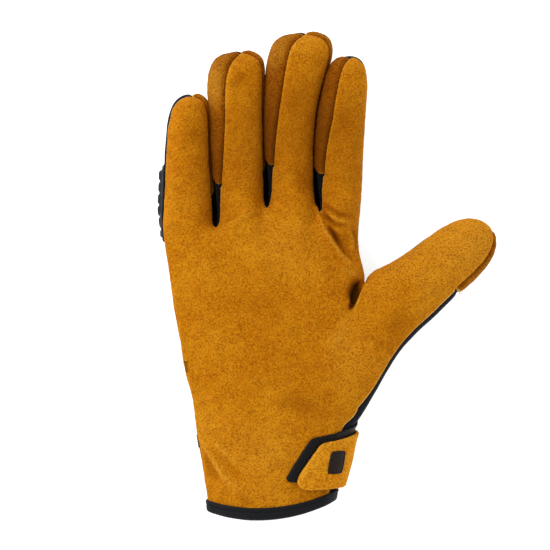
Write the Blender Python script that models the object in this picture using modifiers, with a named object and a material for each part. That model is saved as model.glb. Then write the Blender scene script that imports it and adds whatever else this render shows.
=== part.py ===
"""A right-hand insulated work glove that keeps the form of a hand and lies on its back, palm up.

+X points to the thumb side, +Y along the fingers and +Z out of the palm. The origin is on the floor,
under the middle of the palm, where the cloth back is flattened. Lengths are in metres.
"""

import math
from collections import namedtuple
from functools import partial

import bmesh
import bpy
import numpy as np
from mathutils import Vector
from mathutils.bvhtree import BVHTree

PALM_WIDTH = 0.108
PALM_LENGTH = 0.159
PALM_DEPTH = 0.040
FINGER_GAP = 0.0006
SLOT_WIDTH = 0.0042
FINGER_DEPTH = 0.0262
LITTLE_LENGTH = 0.068
RING_LENGTH = 0.087
MIDDLE_LENGTH = 0.093
INDEX_LENGTH = 0.080
THUMB_REACH = 0.068
THUMB_RISE = 0.067
THUMB_WIDTH = 0.036
THUMB_DEPTH = 0.030
WALL = 0.0024
GUSSET_WALL = 0.0010
SEAM_GAP = 0.0006
WEB_RISE = 0.009
FINGER_CURL = 0.009
GUARD_THICKNESS = 0.0024
REST_GAP = 0.0003
LAYER_GAP = 0.0005
BINDING_HEIGHT = 0.0052
BINDING_THICKNESS = 0.0010
PAD_THICKNESS = 0.0014
STRAP_THICKNESS = 0.0020
LABEL_THICKNESS = 0.0007
LABEL_WIDTH = 0.0090
LABEL_HEIGHT = 0.0122
GUARD_SETBACK = 0.001

ORIGIN_ALONG = 0.59
FRONT_POWER = 2.1
BACK_POWER = 2.7
FINGER_POWER = 2.25
DOME_START = 0.85
DOME_POWER = 2.3
TIP_TILT = 0.34
TILT_START = 0.4
CURL_POWER = 1.6
NARROW_START = 0.5
NARROW_POWER = 1.5
FINGER_COLUMNS = 3
THUMB_COLUMNS = 5
GUSSET_RINGS = 2
GUARD_RINGS = 3
GUARD_COLUMN = FINGER_COLUMNS + 3

# Along is a share of the palm's length from the hem, across a share of its width from the origin, and
# mid, front and back are shares of its depth. Turn is the angle at which the right side ends: 90 on a
# closed section, less where the thumb goes on from it.
PalmRow = namedtuple("PalmRow", "along_left along_right sag left right turn mid front back")
KNUCKLE_ROW = PalmRow(0.885, 0.875, 0.0, -0.478, 0.478, 90, 0.46, 0.43, 0.375)
THUMB_ROWS = (
    PalmRow(0.765, 0.755, 0.0, -0.455, 0.507, 90, 0.46, 0.45, 0.49),
    PalmRow(0.660, 0.664, 0.0, -0.431, 0.432, 38, 0.46, 0.46, 0.52),
    PalmRow(0.560, 0.565, 0.0, -0.404, 0.404, 20, 0.47, 0.46, 0.53),
    PalmRow(0.457, 0.470, 0.0, -0.377, 0.404, 22, 0.48, 0.46, 0.54),
    PalmRow(0.352, 0.335, 0.0, -0.340, 0.461, 60, 0.49, 0.47, 0.55),
    PalmRow(0.255, 0.270, 0.0, -0.322, 0.452, 90, 0.50, 0.48, 0.55),
)
HEM_ROW = PalmRow(-0.004, 0.032, -0.035, -0.258, 0.356, 90, 0.54, 0.50, 0.494)
BINDING_SHARE = BINDING_HEIGHT / PALM_LENGTH
WRIST_ROWS = (
    PalmRow(0.150, 0.160, -0.010, -0.294, 0.408, 90, 0.52, 0.49, 0.535),
    HEM_ROW._replace(
        along_left=HEM_ROW.along_left + BINDING_SHARE,
        along_right=HEM_ROW.along_right + BINDING_SHARE,
        left=HEM_ROW.left - 0.006,
        right=HEM_ROW.right + 0.010,
        front=HEM_ROW.front - 0.005,
        back=HEM_ROW.back + 0.010,
    ),
    HEM_ROW,
)

# The front columns end at these turns of the palm's section: the little finger's outer edge, the three
# crotches, the seam at the index side and the edge behind it.
COLUMN_TURNS = (-80, -25, 4, 36, 62, 90)

# The lines that bound the fingers: the outer edges and the three gaps. Across and along place the
# crotch, and drift and bow are the line's sideways run up to the middle fingertip, as shares of the
# palm's width.
Edge = namedtuple("Edge", "across along drift bow")
EDGES = (
    Edge(-0.487, 0.950, 0.045, -0.004),
    Edge(-0.2255, 0.933, -0.039, -0.009),
    Edge(0.0245, 0.997, -0.011, -0.010),
    Edge(0.279, 0.983, 0.098, -0.060),
    Edge(0.485, 1.003, 0.045, 0.000),
)
CROTCH_MID = 0.46
CROTCH_FRONT = 0.40
CROTCH_BACK = 0.36
CROTCH_TURN_FRONT = 66
CROTCH_TURN_BACK = 52
SLOT_AT_BACK = 0.3
SLOT_AT_SIDE = 0.15
SLOT_GROWTH = 1.3
WEB_DIP = 0.1
WEB_SPREAD = 1.4

# Narrowing is the share of the half width that the side towards the little finger loses by the tip,
# and lean the share by which the tip is drawn towards the thumb.
Finger = namedtuple("Finger", "name length narrowing lean")
FINGERS = (
    Finger("little", LITTLE_LENGTH, 0.18, 0.10),
    Finger("ring", RING_LENGTH, 0.04, 0.14),
    Finger("middle", MIDDLE_LENGTH, 0.24, -0.06),
    Finger("index", INDEX_LENGTH, 0.05, -0.08),
)

# Along is a share of the finger's length, slot the share of the crotch slot's width that is still open,
# depth a share of the finger's depth, seam the turn of the front seam and span that of the side wall.
FingerRing = namedtuple("FingerRing", "along slot depth seam span")
FINGER_RINGS = (
    FingerRing(0.09, 1.00, 1.00, 68, 54),
    FingerRing(0.24, 0.45, 1.00, 50, 70),
    FingerRing(0.44, 0.00, 1.00, 34, 86),
    FingerRing(0.63, 0.00, 0.97, 27, 90),
    FingerRing(0.82, 0.00, 0.95, 26, 90),
    FingerRing(0.95, 0.00, 0.94, 26, 90),
)
LITTLE_SEAM = -72
INDEX_SEAM = 84
INNER_SEAM = 78
SEAM_SHIFT = 1 / 3

# Reach and rise are shares of the thumb's reach and rise from its root, slant the angle of the section
# from straight down, and mid its height as a share of the palm's depth.
ThumbRing = namedtuple("ThumbRing", "reach rise width depth slant mid")
THUMB_ROOT_ACROSS = 0.490
THUMB_ROOT_ALONG = 0.507
THUMB_RINGS = (
    ThumbRing(0.070, 0.155, 1.730, 1.16, 3, 0.480),
    ThumbRing(0.220, 0.358, 1.260, 1.12, 14, 0.490),
    ThumbRing(0.400, 0.515, 1.035, 1.06, 28, 0.502),
    ThumbRing(0.600, 0.690, 0.930, 1.00, 38, 0.520),
    ThumbRing(0.790, 0.845, 0.840, 0.92, 38, 0.540),
    ThumbRing(0.912, 0.942, 0.640, 0.74, 38, 0.555),
    ThumbRing(0.970, 0.990, 0.360, 0.44, 38, 0.560),
)
THUMB_TIP = ThumbRing(1.000, 1.005, 0.0, 0.0, 38, 0.560)
THUMB_TURNS = (-90, -52, -17, 20, 58, 90)
THUMB_STRIP_START = 4

# Around is the turn about the wrist, 0 at the middle of the palm side and 90 at the thumb side.
# Top and bottom are shares of the palm's length from the hem.
Wrap = namedtuple(
    "Wrap",
    "start_top start_bottom stop top_start top_stop bottom_start bottom_stop round_top round_bottom",
)
STRAP = Wrap(35.5, 13.5, 120, 0.224, 0.262, 0.068, 0.072, 0.10, 0.34)
PAD = Wrap(27.5, 8.5, 112, 0.240, 0.292, 0.094, 0.094, 0.08, 0.14)
LABEL_AROUND = 53
LABEL_ALONG = 0.157
LABEL_ROUND = 0.08
CORNER_TURN = 50
PAD_GRID = (16, 6)
STRAP_GRID = (20, 8)
LABEL_GRID = (4, 4)
RAY_START = 2

SHARPEST_CORNER = 0.3
SHARP_ANGLE = 40
PULL_ROUNDS = 4
Skin = namedtuple("Skin", "points normals depths quads faces panels")
PALM, BACK, GUARDED, THUMB_STRIP, WALLS = 0, 1, 2, 3, 4
GUSSETS = WALLS + 6


def along(share):
    return (share - ORIGIN_ALONG) * PALM_LENGTH


def rounded(turn, power):
    """Sideways and upward shares of a rounded section at this turn in degrees, 0 straight up."""
    side = math.sin(math.radians(turn))
    up = math.cos(math.radians(turn))
    length = (abs(side) ** power + abs(up) ** power) ** (1 / power)
    return side / length, up / length


def column_turns():
    """The turn of every front column, three to a finger."""
    bounds = COLUMN_TURNS
    turns = []
    for first, last in zip(bounds[:3], bounds[1:4]):
        turns += [first + (last - first) * step / FINGER_COLUMNS for step in range(FINGER_COLUMNS)]
    return turns + [bounds[3], (bounds[3] + bounds[4]) / 2, bounds[4], bounds[5]]


def palm_points(row, front):
    """The points of one palm row, from the little finger's side to the thumb's."""
    sides = [math.sin(math.radians(turn)) for turn in column_turns()]
    end = math.sin(math.radians(row.turn))
    power = FRONT_POWER if front else BACK_POWER
    points = []
    for side in sides:
        share = (side - sides[0]) / (sides[-1] - sides[0])
        scaled = sides[0] + share * (end - sides[0])
        height = max(0.0, 1 - abs(scaled) ** power) ** (1 / power)
        rise = row.mid + (row.front if front else -row.back) * height
        level = row.along_left + (row.along_right - row.along_left) * share
        level += row.sag * 4 * share * (1 - share)
        across = row.left + share * (row.right - row.left)
        points.append(Vector((across * PALM_WIDTH, along(level), rise * PALM_DEPTH)))
    return points


def crotch_points(front):
    """The points of the row where the fingers part, which starts higher up the fingers on the back."""
    points = []
    for number in range(4):
        left, right = EDGES[number], EDGES[number + 1]
        crotch_turn = CROTCH_TURN_FRONT if front else CROTCH_TURN_BACK
        first = COLUMN_TURNS[0] if number == 0 else -crotch_turn
        last = COLUMN_TURNS[-1] if number == 3 else crotch_turn
        for step in range(FINGER_COLUMNS + 1):
            if step == 0 and number:
                continue
            share = step / FINGER_COLUMNS
            side, up = rounded(first + (last - first) * share, FINGER_POWER)
            low, high = rounded(first, FINGER_POWER)[0], rounded(last, FINGER_POWER)[0]
            placed = (side - low) / (high - low)
            across = left.across + placed * (right.across - left.across)
            level = along(left.along + placed * (right.along - left.along))
            if front:
                rise = CROTCH_MID + CROTCH_FRONT * up
            else:
                rise = CROTCH_MID - CROTCH_BACK * up
                outer = placed if number == 0 else 1 - placed if number == 3 else 1.0
                level += WEB_RISE * math.sin(min(1.0, outer * WEB_SPREAD) * math.pi / 2)
            points.append(Vector((across * PALM_WIDTH, level, rise * PALM_DEPTH)))
    return points


def finger_turns(ring, number):
    """The turns round a finger: front columns, right wall, back columns and left wall."""
    shift = (ring.seam - FINGER_RINGS[-1].seam) * SEAM_SHIFT
    left_front = LITTLE_SEAM if number == 0 else -ring.seam
    right_front = INDEX_SEAM if number == 3 else INNER_SEAM + shift
    right_back = right_front if number == 3 else right_front + ring.span
    left_back = left_front if number == 0 else left_front - ring.span
    steps = [step / FINGER_COLUMNS for step in range(FINGER_COLUMNS + 1)]
    turns = [left_front + (right_front - left_front) * share for share in steps]
    if number < 3:
        turns.append((right_front + right_back) / 2)
    back = [right_back + (left_back + 360 - right_back) * share for share in steps]
    turns += back if number < 3 else back[1:]
    if number == 0:
        return turns[:-1]
    return turns + [(left_back + left_front) / 2]


def finger_bounds(number, level, slot):
    """Left and right limits of a finger at this height, clear of its neighbours."""
    limits = []
    for edge, inner in ((EDGES[number], number > 0), (EDGES[number + 1], number < 3)):
        share = max(0.0, (level - along(edge.along)) / MIDDLE_LENGTH)
        line = edge.across + edge.drift * share + edge.bow * 4 * share * (1 - share)
        limits.append((line * PALM_WIDTH, (FINGER_GAP + slot * SLOT_WIDTH) / 2 if inner else 0.0))
    return limits[0][0] + limits[0][1], limits[1][0] - limits[1][1]


def finger_root(number):
    return along((EDGES[number].along + EDGES[number + 1].along) / 2)


def finger_middle(finger, number, share, level, slot):
    """Sideways centre and half width of a finger at this share of its length and this height."""
    left, right = finger_bounds(number, level, slot)
    half = (right - left) / 2
    towards_tip = max(0.0, (share - NARROW_START) / (1 - NARROW_START))
    lost = finger.narrowing * towards_tip**NARROW_POWER * half
    dome = max(0.0, (share - DOME_START) / (1 - DOME_START))
    return (left + lost + right) / 2 + finger.lean * dome * half, half - lost / 2


def finger_point(finger, number, ring, turn, base):
    """A point of a finger at this turn, above the base point that its column starts from."""
    share = ring.along
    dome = max(0.0, (share - DOME_START) / (1 - DOME_START))
    closing = (1 - dome**DOME_POWER) ** (1 / DOME_POWER)
    side, up = rounded(turn, FINGER_POWER)
    half_depth = FINGER_DEPTH / 2 * ring.depth * closing
    middle = CROTCH_MID * PALM_DEPTH + FINGER_CURL * share**CURL_POWER
    tilt = TIP_TILT * min(1.0, max(0.0, share / TILT_START - 1)) * half_depth * up
    level = base.y + share * (finger_root(number) + finger.length - base.y) - tilt
    slot = ring.slot * min(1.0, max(SLOT_AT_BACK, SLOT_AT_SIDE + SLOT_GROWTH * up))
    across, half = finger_middle(finger, number, share, level, slot)
    return Vector((across + half * closing * side, level, middle + half_depth * up))


def finger_tip(finger, number):
    level = finger_root(number) + finger.length
    across, _ = finger_middle(finger, number, 1.0, level, 0.0)
    return Vector((across, level, CROTCH_MID * PALM_DEPTH + FINGER_CURL))


def thumb_turns():
    """The turns round the thumb: over its front from crotch to root, then back underneath."""
    return list(THUMB_TURNS) + [180 - turn for turn in reversed(THUMB_TURNS[1:-1])]


def thumb_point(ring, turn):
    side, up = rounded(turn, FINGER_POWER)
    slant = math.radians(ring.slant)
    down_across = Vector((math.sin(slant), -math.cos(slant), 0))
    centre = Vector(
        (
            THUMB_ROOT_ACROSS * PALM_WIDTH + ring.reach * THUMB_REACH,
            along(THUMB_ROOT_ALONG) + ring.rise * THUMB_RISE,
            ring.mid * PALM_DEPTH,
        )
    )
    rise = Vector((0, 0, ring.depth * THUMB_DEPTH / 2 * up))
    return centre + down_across * (ring.width * THUMB_WIDTH / 2 * side) + rise


def build_cage():
    """The whole glove as one coarse surface, open at the hem, whose faces carry the panel they are in."""
    points = []
    faces = []

    def add(point):
        points.append(point)
        return len(points) - 1

    def join(lower, upper, panels):
        """Quads between two closed rings, with a panel for each step round them."""
        count = len(lower)
        for step, panel in enumerate(panels):
            after = (step + 1) % count
            faces.append(((lower[step], lower[after], upper[after], upper[step]), panel))

    rows = [None, KNUCKLE_ROW, *THUMB_ROWS, *WRIST_ROWS]
    last = len(FINGERS) * FINGER_COLUMNS
    fronts = []
    backs = []
    for number, row in enumerate(rows):
        made = palm_points(row, True) if row else crotch_points(True)
        fronts.append([add(point) for point in made])
        made = palm_points(row, False) if row else crotch_points(False)
        open_right = row is not None and row.turn < 90
        line = [fronts[number][0]] + [add(point) for point in made[1:last]]
        backs.append(line + [add(made[last]) if open_right else fronts[number][last]])

    root_row = 1 + len(THUMB_ROWS)
    for number in range(len(rows) - 1):
        for column in range(last):
            front = (
                fronts[number][column],
                fronts[number + 1][column],
                fronts[number + 1][column + 1],
                fronts[number][column + 1],
            )
            at_edge = column == last - 1
            if at_edge and number == root_row - 1:
                faces.append(((front[0], front[1], front[3]), PALM))
                faces.append(((front[1], front[2], front[3]), BACK))
            else:
                faces.append((front, BACK if at_edge and number >= root_row else PALM))
            back = (
                backs[number][column],
                backs[number][column + 1],
                backs[number + 1][column + 1],
                backs[number + 1][column],
            )
            faces.append((back, GUARDED if number == 0 and not at_edge else BACK))

    webs = []
    for number in (1, 2, 3):
        front = points[fronts[0][number * FINGER_COLUMNS]]
        back = points[backs[0][number * FINGER_COLUMNS]]
        middle = front.lerp(back, 0.5)
        middle.y -= WEB_DIP * WEB_RISE
        webs.append(add(middle))

    for number, finger in enumerate(FINGERS):
        first = number * FINGER_COLUMNS
        over = fronts[0][first : first + FINGER_COLUMNS + 1]
        under = backs[0][first : first + FINGER_COLUMNS + 1][::-1]
        panels = [PALM] * FINGER_COLUMNS
        lower = list(over)
        if number < 3:
            lower.append(webs[number])
            lower += under
            panels += [WALLS + number] * 2
        else:
            lower += under[1:]
        panels += [BACK] * FINGER_COLUMNS
        if number:
            lower.append(webs[number - 1])
            panels += [WALLS + 2 + number] * 2
        else:
            lower = lower[:-1]
        bases = [points[index] for index in lower]
        for step, ring in enumerate(FINGER_RINGS):
            turns = finger_turns(ring, number)
            upper = [
                add(finger_point(finger, number, ring, turn, base))
                for turn, base in zip(turns, bases)
            ]
            made = []
            for panel in panels:
                if panel >= WALLS and step < GUSSET_RINGS:
                    gap = panel - WALLS if panel < WALLS + 3 else panel - WALLS - 3
                    made.append(GUSSETS + gap)
                elif number == 0 and panel == BACK and step < GUARD_RINGS and len(made) >= GUARD_COLUMN:
                    made.append(GUARDED)
                else:
                    made.append(panel)
            join(lower, upper, made)
            lower = upper
        tip = add(finger_tip(finger, number))
        for step, panel in enumerate(panels):
            faces.append(((lower[step], lower[(step + 1) % len(lower)], tip), panel))

    lower = [fronts[2][last]] + [fronts[2 + step][last] for step in range(1, THUMB_COLUMNS)]
    lower.append(fronts[2 + THUMB_COLUMNS][last])
    lower += [backs[2 + step][last] for step in range(THUMB_COLUMNS - 1, 0, -1)]
    for step, ring in enumerate((*THUMB_RINGS, THUMB_TIP)):
        edge = THUMB_STRIP if step >= THUMB_STRIP_START else BACK
        panels = [PALM] * (THUMB_COLUMNS - 1) + [edge] * 2 + [BACK] * (THUMB_COLUMNS - 1)
        if ring is THUMB_TIP:
            tip = add(thumb_point(ring, 0))
            for place, panel in enumerate(panels):
                faces.append(((lower[place], lower[(place + 1) % len(lower)], tip), panel))
            break
        upper = [add(thumb_point(ring, turn)) for turn in thumb_turns()]
        join(lower, upper, panels)
        lower = upper
    return points, faces


def smooth_skin(points, faces, levels):
    """A hidden guide: the cage subdivided, and pulled until its smooth surface passes through the points."""
    mesh = bpy.data.meshes.new("glove_form")
    mesh.from_pydata([tuple(point) for point in points], [], [list(face) for face, _ in faces])
    mesh.polygons.foreach_set("material_index", [panel for _, panel in faces])
    form = bmesh.new()
    form.from_mesh(mesh)
    bmesh.ops.recalc_face_normals(form, faces=form.faces)
    form.to_mesh(mesh)
    form.free()
    guide = bpy.data.objects.new("glove_form", mesh)
    guide.hide_render = True
    guide.display_type = "WIRE"
    helper_collection.objects.link(guide)
    smooth = guide.modifiers.new("Smooth", "SUBSURF")
    smooth.levels = levels
    smooth.render_levels = levels
    smooth.boundary_smooth = "PRESERVE_CORNERS"
    wanted = np.array([tuple(point) for point in points])
    pulled = wanted.copy()
    for _ in range(PULL_ROUNDS):
        mesh.vertices.foreach_set("co", pulled.ravel())
        mesh.update()
        reached = skin_arrays(guide)[0][: len(points)]
        pulled += wanted - reached
    mesh.vertices.foreach_set("co", pulled.ravel())
    mesh.update()
    return guide


def skin_arrays(guide):
    """The evaluated guide's points, polygons and their panels."""
    bpy.context.view_layer.update()
    evaluated = guide.evaluated_get(bpy.context.evaluated_depsgraph_get())
    mesh = evaluated.to_mesh()
    coordinates = np.empty(len(mesh.vertices) * 3)
    mesh.vertices.foreach_get("co", coordinates)
    polygons = [tuple(polygon.vertices) for polygon in mesh.polygons]
    panels = [polygon.material_index for polygon in mesh.polygons]
    evaluated.to_mesh_clear()
    return coordinates.reshape(-1, 3), polygons, panels


def split_faces(coordinates, polygons, panels):
    """The polygons as triangles, quads split on their shorter diagonal, and the panel of each."""
    triangles, owners = [], []
    for polygon, panel in zip(polygons, panels):
        if len(polygon) == 4:
            here, right, over, up = polygon
            across = np.linalg.norm(coordinates[here] - coordinates[over])
            if across > np.linalg.norm(coordinates[right] - coordinates[up]):
                here, right, over, up = right, over, up, here
            triangles += [(here, right, over), (here, over, up)]
            owners += [panel, panel]
        else:
            triangles.append(polygon)
            owners.append(panel)
    return triangles, owners


def point_normals(coordinates, polygons):
    """The normal of the whole surface at each point, weighted by face area."""
    normals = np.zeros_like(coordinates)
    for polygon in polygons:
        corners = coordinates[list(polygon)]
        facing = np.zeros(3)
        for here, there in zip(corners, np.roll(corners, -1, axis=0)):
            facing += np.cross(here - corners[0], there - corners[0])
        for index in polygon:
            normals[index] += facing
    return normals / np.maximum(np.linalg.norm(normals, axis=1), 1e-12)[:, None]


def flatten_on_floor(coordinates, polygons, panels):
    """Presses the cloth back flat where it lies, a guard's thickness higher under the guard."""
    guarded = {index for polygon, panel in zip(polygons, panels) if panel == GUARDED for index in polygon}
    raised = GUARD_THICKNESS + REST_GAP
    for index, point in enumerate(coordinates):
        point[2] = max(point[2], raised if index in guarded else 0.0)


def wall_depths(coordinates, polygons, panels):
    """The wall's thickness at each point, thinner on the stretch gussets in the crotches."""
    depths = np.full(len(coordinates), WALL)
    for polygon, panel in zip(polygons, panels):
        if panel >= GUSSETS:
            depths[list(polygon)] = GUSSET_WALL
    return depths


def panel_wall(skin, chosen, outer, inner, setback):
    """A closed wall over the chosen panels, between two offsets from the skin, set back at its edges.

    With no inner offset it is as thick as the glove's own wall at each point.
    """
    coordinates, normals, depths, _, polygons, panels = skin
    own = [polygon for polygon, panel in zip(polygons, panels) if panel in chosen]
    used = sorted({index for polygon in own for index in polygon})
    edges = {}
    inward = {index: [] for index in used}
    for polygon in own:
        centre = coordinates[list(polygon)].mean(axis=0)
        for here, there in zip(polygon, polygon[1:] + polygon[:1]):
            key = (min(here, there), max(here, there))
            edges.setdefault(key, []).append((here, there, centre))
    rim = [found[0] for found in edges.values() if len(found) == 1]
    for here, there, centre in rim:
        along_edge = coordinates[there] - coordinates[here]
        along_edge /= np.linalg.norm(along_edge)
        step = centre - coordinates[here]
        step = step - along_edge * step.dot(along_edge)
        step /= np.linalg.norm(step)
        inward[here].append(step)
        inward[there].append(step)
    tops, bottoms = [], []
    for index in used:
        shift = np.zeros(3)
        if inward[index]:
            first, last = inward[index][0], inward[index][-1]
            shift = setback * (first + last) / max(SHARPEST_CORNER, 1 + first.dot(last))
            shift -= normals[index] * shift.dot(normals[index])
        tops.append(coordinates[index] + shift + normals[index] * outer)
        inward_offset = -depths[index] if inner is None else inner
        bottoms.append(coordinates[index] + shift + normals[index] * inward_offset)
    place = {index: number for number, index in enumerate(used)}
    count = len(used)
    faces = [[place[index] for index in polygon] for polygon in own]
    faces += [[place[index] + count for index in reversed(polygon)] for polygon in own]
    for here, there, _ in rim:
        outer_here, outer_there = place[here], place[there]
        inner_here, inner_there = outer_here + count, outer_there + count
        if here < there:
            faces.append([inner_here, inner_there, outer_here])
            faces.append([inner_there, outer_there, outer_here])
        else:
            faces.append([inner_here, inner_there, outer_there])
            faces.append([inner_here, outer_there, outer_here])
    return tops + bottoms, faces


def material(name, hex_colour, roughness):
    made = bpy.data.materials.new(name)
    made.use_nodes = True
    shader = made.node_tree.nodes["Principled BSDF"]
    channels = [int(hex_colour[place : place + 2], 16) / 255 for place in (0, 2, 4)]
    shader.inputs["Base Color"].default_value = (*[value**2.2 for value in channels], 1)
    shader.inputs["Roughness"].default_value = roughness
    shader.inputs["Metallic"].default_value = 0.0
    return made


def add_piece(name, points, faces, finish):
    mesh = bpy.data.meshes.new(name)
    mesh.from_pydata([tuple(point) for point in points], [], faces)
    form = bmesh.new()
    form.from_mesh(mesh)
    bmesh.ops.recalc_face_normals(form, faces=form.faces)
    form.to_mesh(mesh)
    form.free()
    mesh.shade_smooth()
    mesh.set_sharp_from_angle(angle=math.radians(SHARP_ANGLE))
    mesh.materials.append(finish)
    piece = bpy.data.objects.new(name, mesh)
    glove_collection.objects.link(piece)
    return piece


def open_edge(skin):
    """The points round the open edge in order, each with the point one cage row further in."""
    polygons = skin.quads
    sides = {}
    linked = {}
    mates = {}
    for polygon in polygons:
        for here, there in zip(polygon, polygon[1:] + polygon[:1]):
            sides.setdefault((min(here, there), max(here, there)), []).append((here, there))
            linked.setdefault(here, set()).add(there)
            linked.setdefault(there, set()).add(here)
            mates.setdefault(here, set()).update(polygon)
    following = dict(found[0] for found in sides.values() if len(found) == 1)
    loop = [min(following)]
    while following[loop[-1]] != loop[0]:
        loop.append(following[loop[-1]])
    edge = []
    for index in loop:
        next_in = (linked[index] - following.keys()).pop()
        edge.append((index, (linked[next_in] - mates[index]).pop()))
    return edge


def add_binding(skin, finish):
    """Tape folded over the hem: a U-shaped section carried round the glove's open edge."""
    coordinates, normals = skin.points, skin.normals
    clear, thick = REST_GAP, BINDING_THICKNESS
    low, high = -WALL - clear, clear
    points = []
    edge = open_edge(skin)
    for hem, inside in edge:
        place, normal = coordinates[hem], normals[hem]
        above, facing = coordinates[inside], normals[inside]
        outward = place - above
        outward -= normal * outward.dot(normal)
        outward /= np.linalg.norm(outward)
        points += [above + facing * high, above + facing * (high + thick)]
        points += [place + outward * clear + normal * (high + thick)]
        points += [place + outward * (clear + thick) + normal * high]
        points += [place + outward * (clear + thick) + normal * low]
        points += [place + outward * clear + normal * (low - thick)]
        points += [above + facing * (low - thick), above + facing * low]
        points += [place + outward * clear + normal * low, place + outward * clear + normal * high]
    size = len(points) // len(edge)
    faces = []
    for number in range(len(edge)):
        here, there = number * size, (number + 1) % len(edge) * size
        for side in range(size):
            after = (side + 1) % size
            faces.append([here + side, there + side, there + after, here + after])
    return add_piece("cuff_binding", points, faces, finish)


def wrist_frame(level):
    """Centre and half sizes of the wrist's section at this height, from the palm rows."""
    rows = (THUMB_ROWS[-1], *WRIST_ROWS)
    shares = [along(row.along_left) for row in rows]
    order = np.argsort(shares)
    left = np.interp(level, np.array(shares)[order], np.array([row.left for row in rows])[order])
    right = np.interp(level, np.array(shares)[order], np.array([row.right for row in rows])[order])
    mid = np.interp(level, np.array(shares)[order], np.array([row.mid for row in rows])[order])
    front = np.interp(level, np.array(shares)[order], np.array([row.front for row in rows])[order])
    centre = Vector(((left + right) / 2 * PALM_WIDTH, level, mid * PALM_DEPTH))
    return centre, (right - left) / 2 * PALM_WIDTH, front * PALM_DEPTH


def on_wrist(tree, turn, level, lift):
    """The point that lies this far off the skin at this turn about the wrist."""
    centre, half_width, half_depth = wrist_frame(level)
    side, up = rounded(turn, FRONT_POWER)
    outward = Vector((side * half_width, 0, up * half_depth))
    spot, normal, _, _ = tree.ray_cast(centre + outward * RAY_START, -outward.normalized())
    level_normal = Vector((side / half_width, 0, up / half_depth)).normalized()
    if normal.dot(level_normal) < 0:
        normal = -normal
    return spot + level_normal * lift


def wrap_outline(wrap, share_round, share_down):
    """Turn and height on a wrap: share_round runs from its free end, share_down from top to bottom."""
    start = wrap.start_top + (wrap.start_bottom - wrap.start_top) * share_down
    top = wrap.top_start + (wrap.top_stop - wrap.top_start) * share_round
    bottom = wrap.bottom_start + (wrap.bottom_stop - wrap.bottom_start) * share_round
    bend = wrap.round_top if share_down < 0.5 else wrap.round_bottom
    corner = max(0.0, abs(2 * share_down - 1) - (1 - 2 * bend)) / (2 * bend)
    start += (1 - math.sqrt(max(0.0, 1 - corner**2))) * bend * CORNER_TURN * (1 - share_round)
    turn = start + (wrap.stop - start) * share_round
    return turn, along(top + (bottom - top) * share_down)


def add_wrap(name, tree, place, grid, lift, thickness, finish):
    """A band laid round the wrist: a grid on the skin at one lift, and the same grid above it."""
    columns, lines = grid
    points = []
    for height in (lift + thickness, lift):
        for column in range(columns + 1):
            for line in range(lines + 1):
                turn, level = place(column / columns, line / lines)
                points.append(on_wrist(tree, turn, level, height))
    size = (columns + 1) * (lines + 1)

    def spot(column, line):
        return column * (lines + 1) + line

    faces = []
    for column in range(columns):
        for line in range(lines):
            quad = [spot(column, line), spot(column + 1, line)]
            quad += [spot(column + 1, line + 1), spot(column, line + 1)]
            faces.append(quad)
            faces.append([index + size for index in reversed(quad)])
    around = [spot(column, 0) for column in range(columns + 1)]
    around += [spot(columns, line) for line in range(1, lines + 1)]
    around += [spot(column, lines) for column in range(columns - 1, -1, -1)]
    around += [spot(0, line) for line in range(lines - 1, 0, -1)]
    for here, there in zip(around, around[1:] + around[:1]):
        faces.append([here, there, there + size, here + size])
    return add_piece(name, points, faces, finish)


def label_place(share_round, share_down):
    """Turn and height on the label patch, a small upright rectangle with eased corners."""
    side = 2 * share_round - 1
    down = 2 * share_down - 1
    ease = 1 - LABEL_ROUND * (side * down) ** 2
    _, half_width, half_depth = wrist_frame(along(LABEL_ALONG))
    radius = (half_width + half_depth) / 2
    turn = LABEL_AROUND + math.degrees(side * ease * LABEL_WIDTH / 2 / radius)
    return turn, along(LABEL_ALONG) - down * ease * LABEL_HEIGHT / 2


for old in list(bpy.data.objects):
    bpy.data.objects.remove(old, do_unlink=True)
glove_collection = bpy.data.collections.new("insulated_glove")
helper_collection = bpy.data.collections.new("glove_guides")
bpy.context.scene.collection.children.link(glove_collection)
bpy.context.scene.collection.children.link(helper_collection)
helper_collection.hide_render = True

tan_suede = material("tan suede", "C47C18", 0.95)
side_suede = material("side wall suede", "A8640F", 0.95)
strap_suede = material("strap suede", "D68A22", 0.95)
black_fabric = material("black stretch fabric", "17181C", 0.85)
black_tape = material("black binding tape", "101114", 0.8)
black_hook = material("black hook pad", "0C0C0E", 0.9)
brown_patch = material("dark brown patch", "2A1A0C", 0.6)
slate_rubber = material("slate moulded rubber", "3A3F47", 0.55)

cage_points, cage_faces = build_cage()
glove_form = smooth_skin(cage_points, cage_faces, 1)
skin_points, skin_quads, quad_panels = skin_arrays(glove_form)
flatten_on_floor(skin_points, skin_quads, quad_panels)
skin_faces, skin_panels = split_faces(skin_points, skin_quads, quad_panels)
skin_normals = point_normals(skin_points, skin_faces)
skin_depths = wall_depths(skin_points, skin_faces, skin_panels)
glove_skin = Skin(skin_points, skin_normals, skin_depths, skin_quads, skin_faces, skin_panels)
skin_tree = BVHTree.FromPolygons([tuple(point) for point in skin_points], skin_faces)

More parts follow.
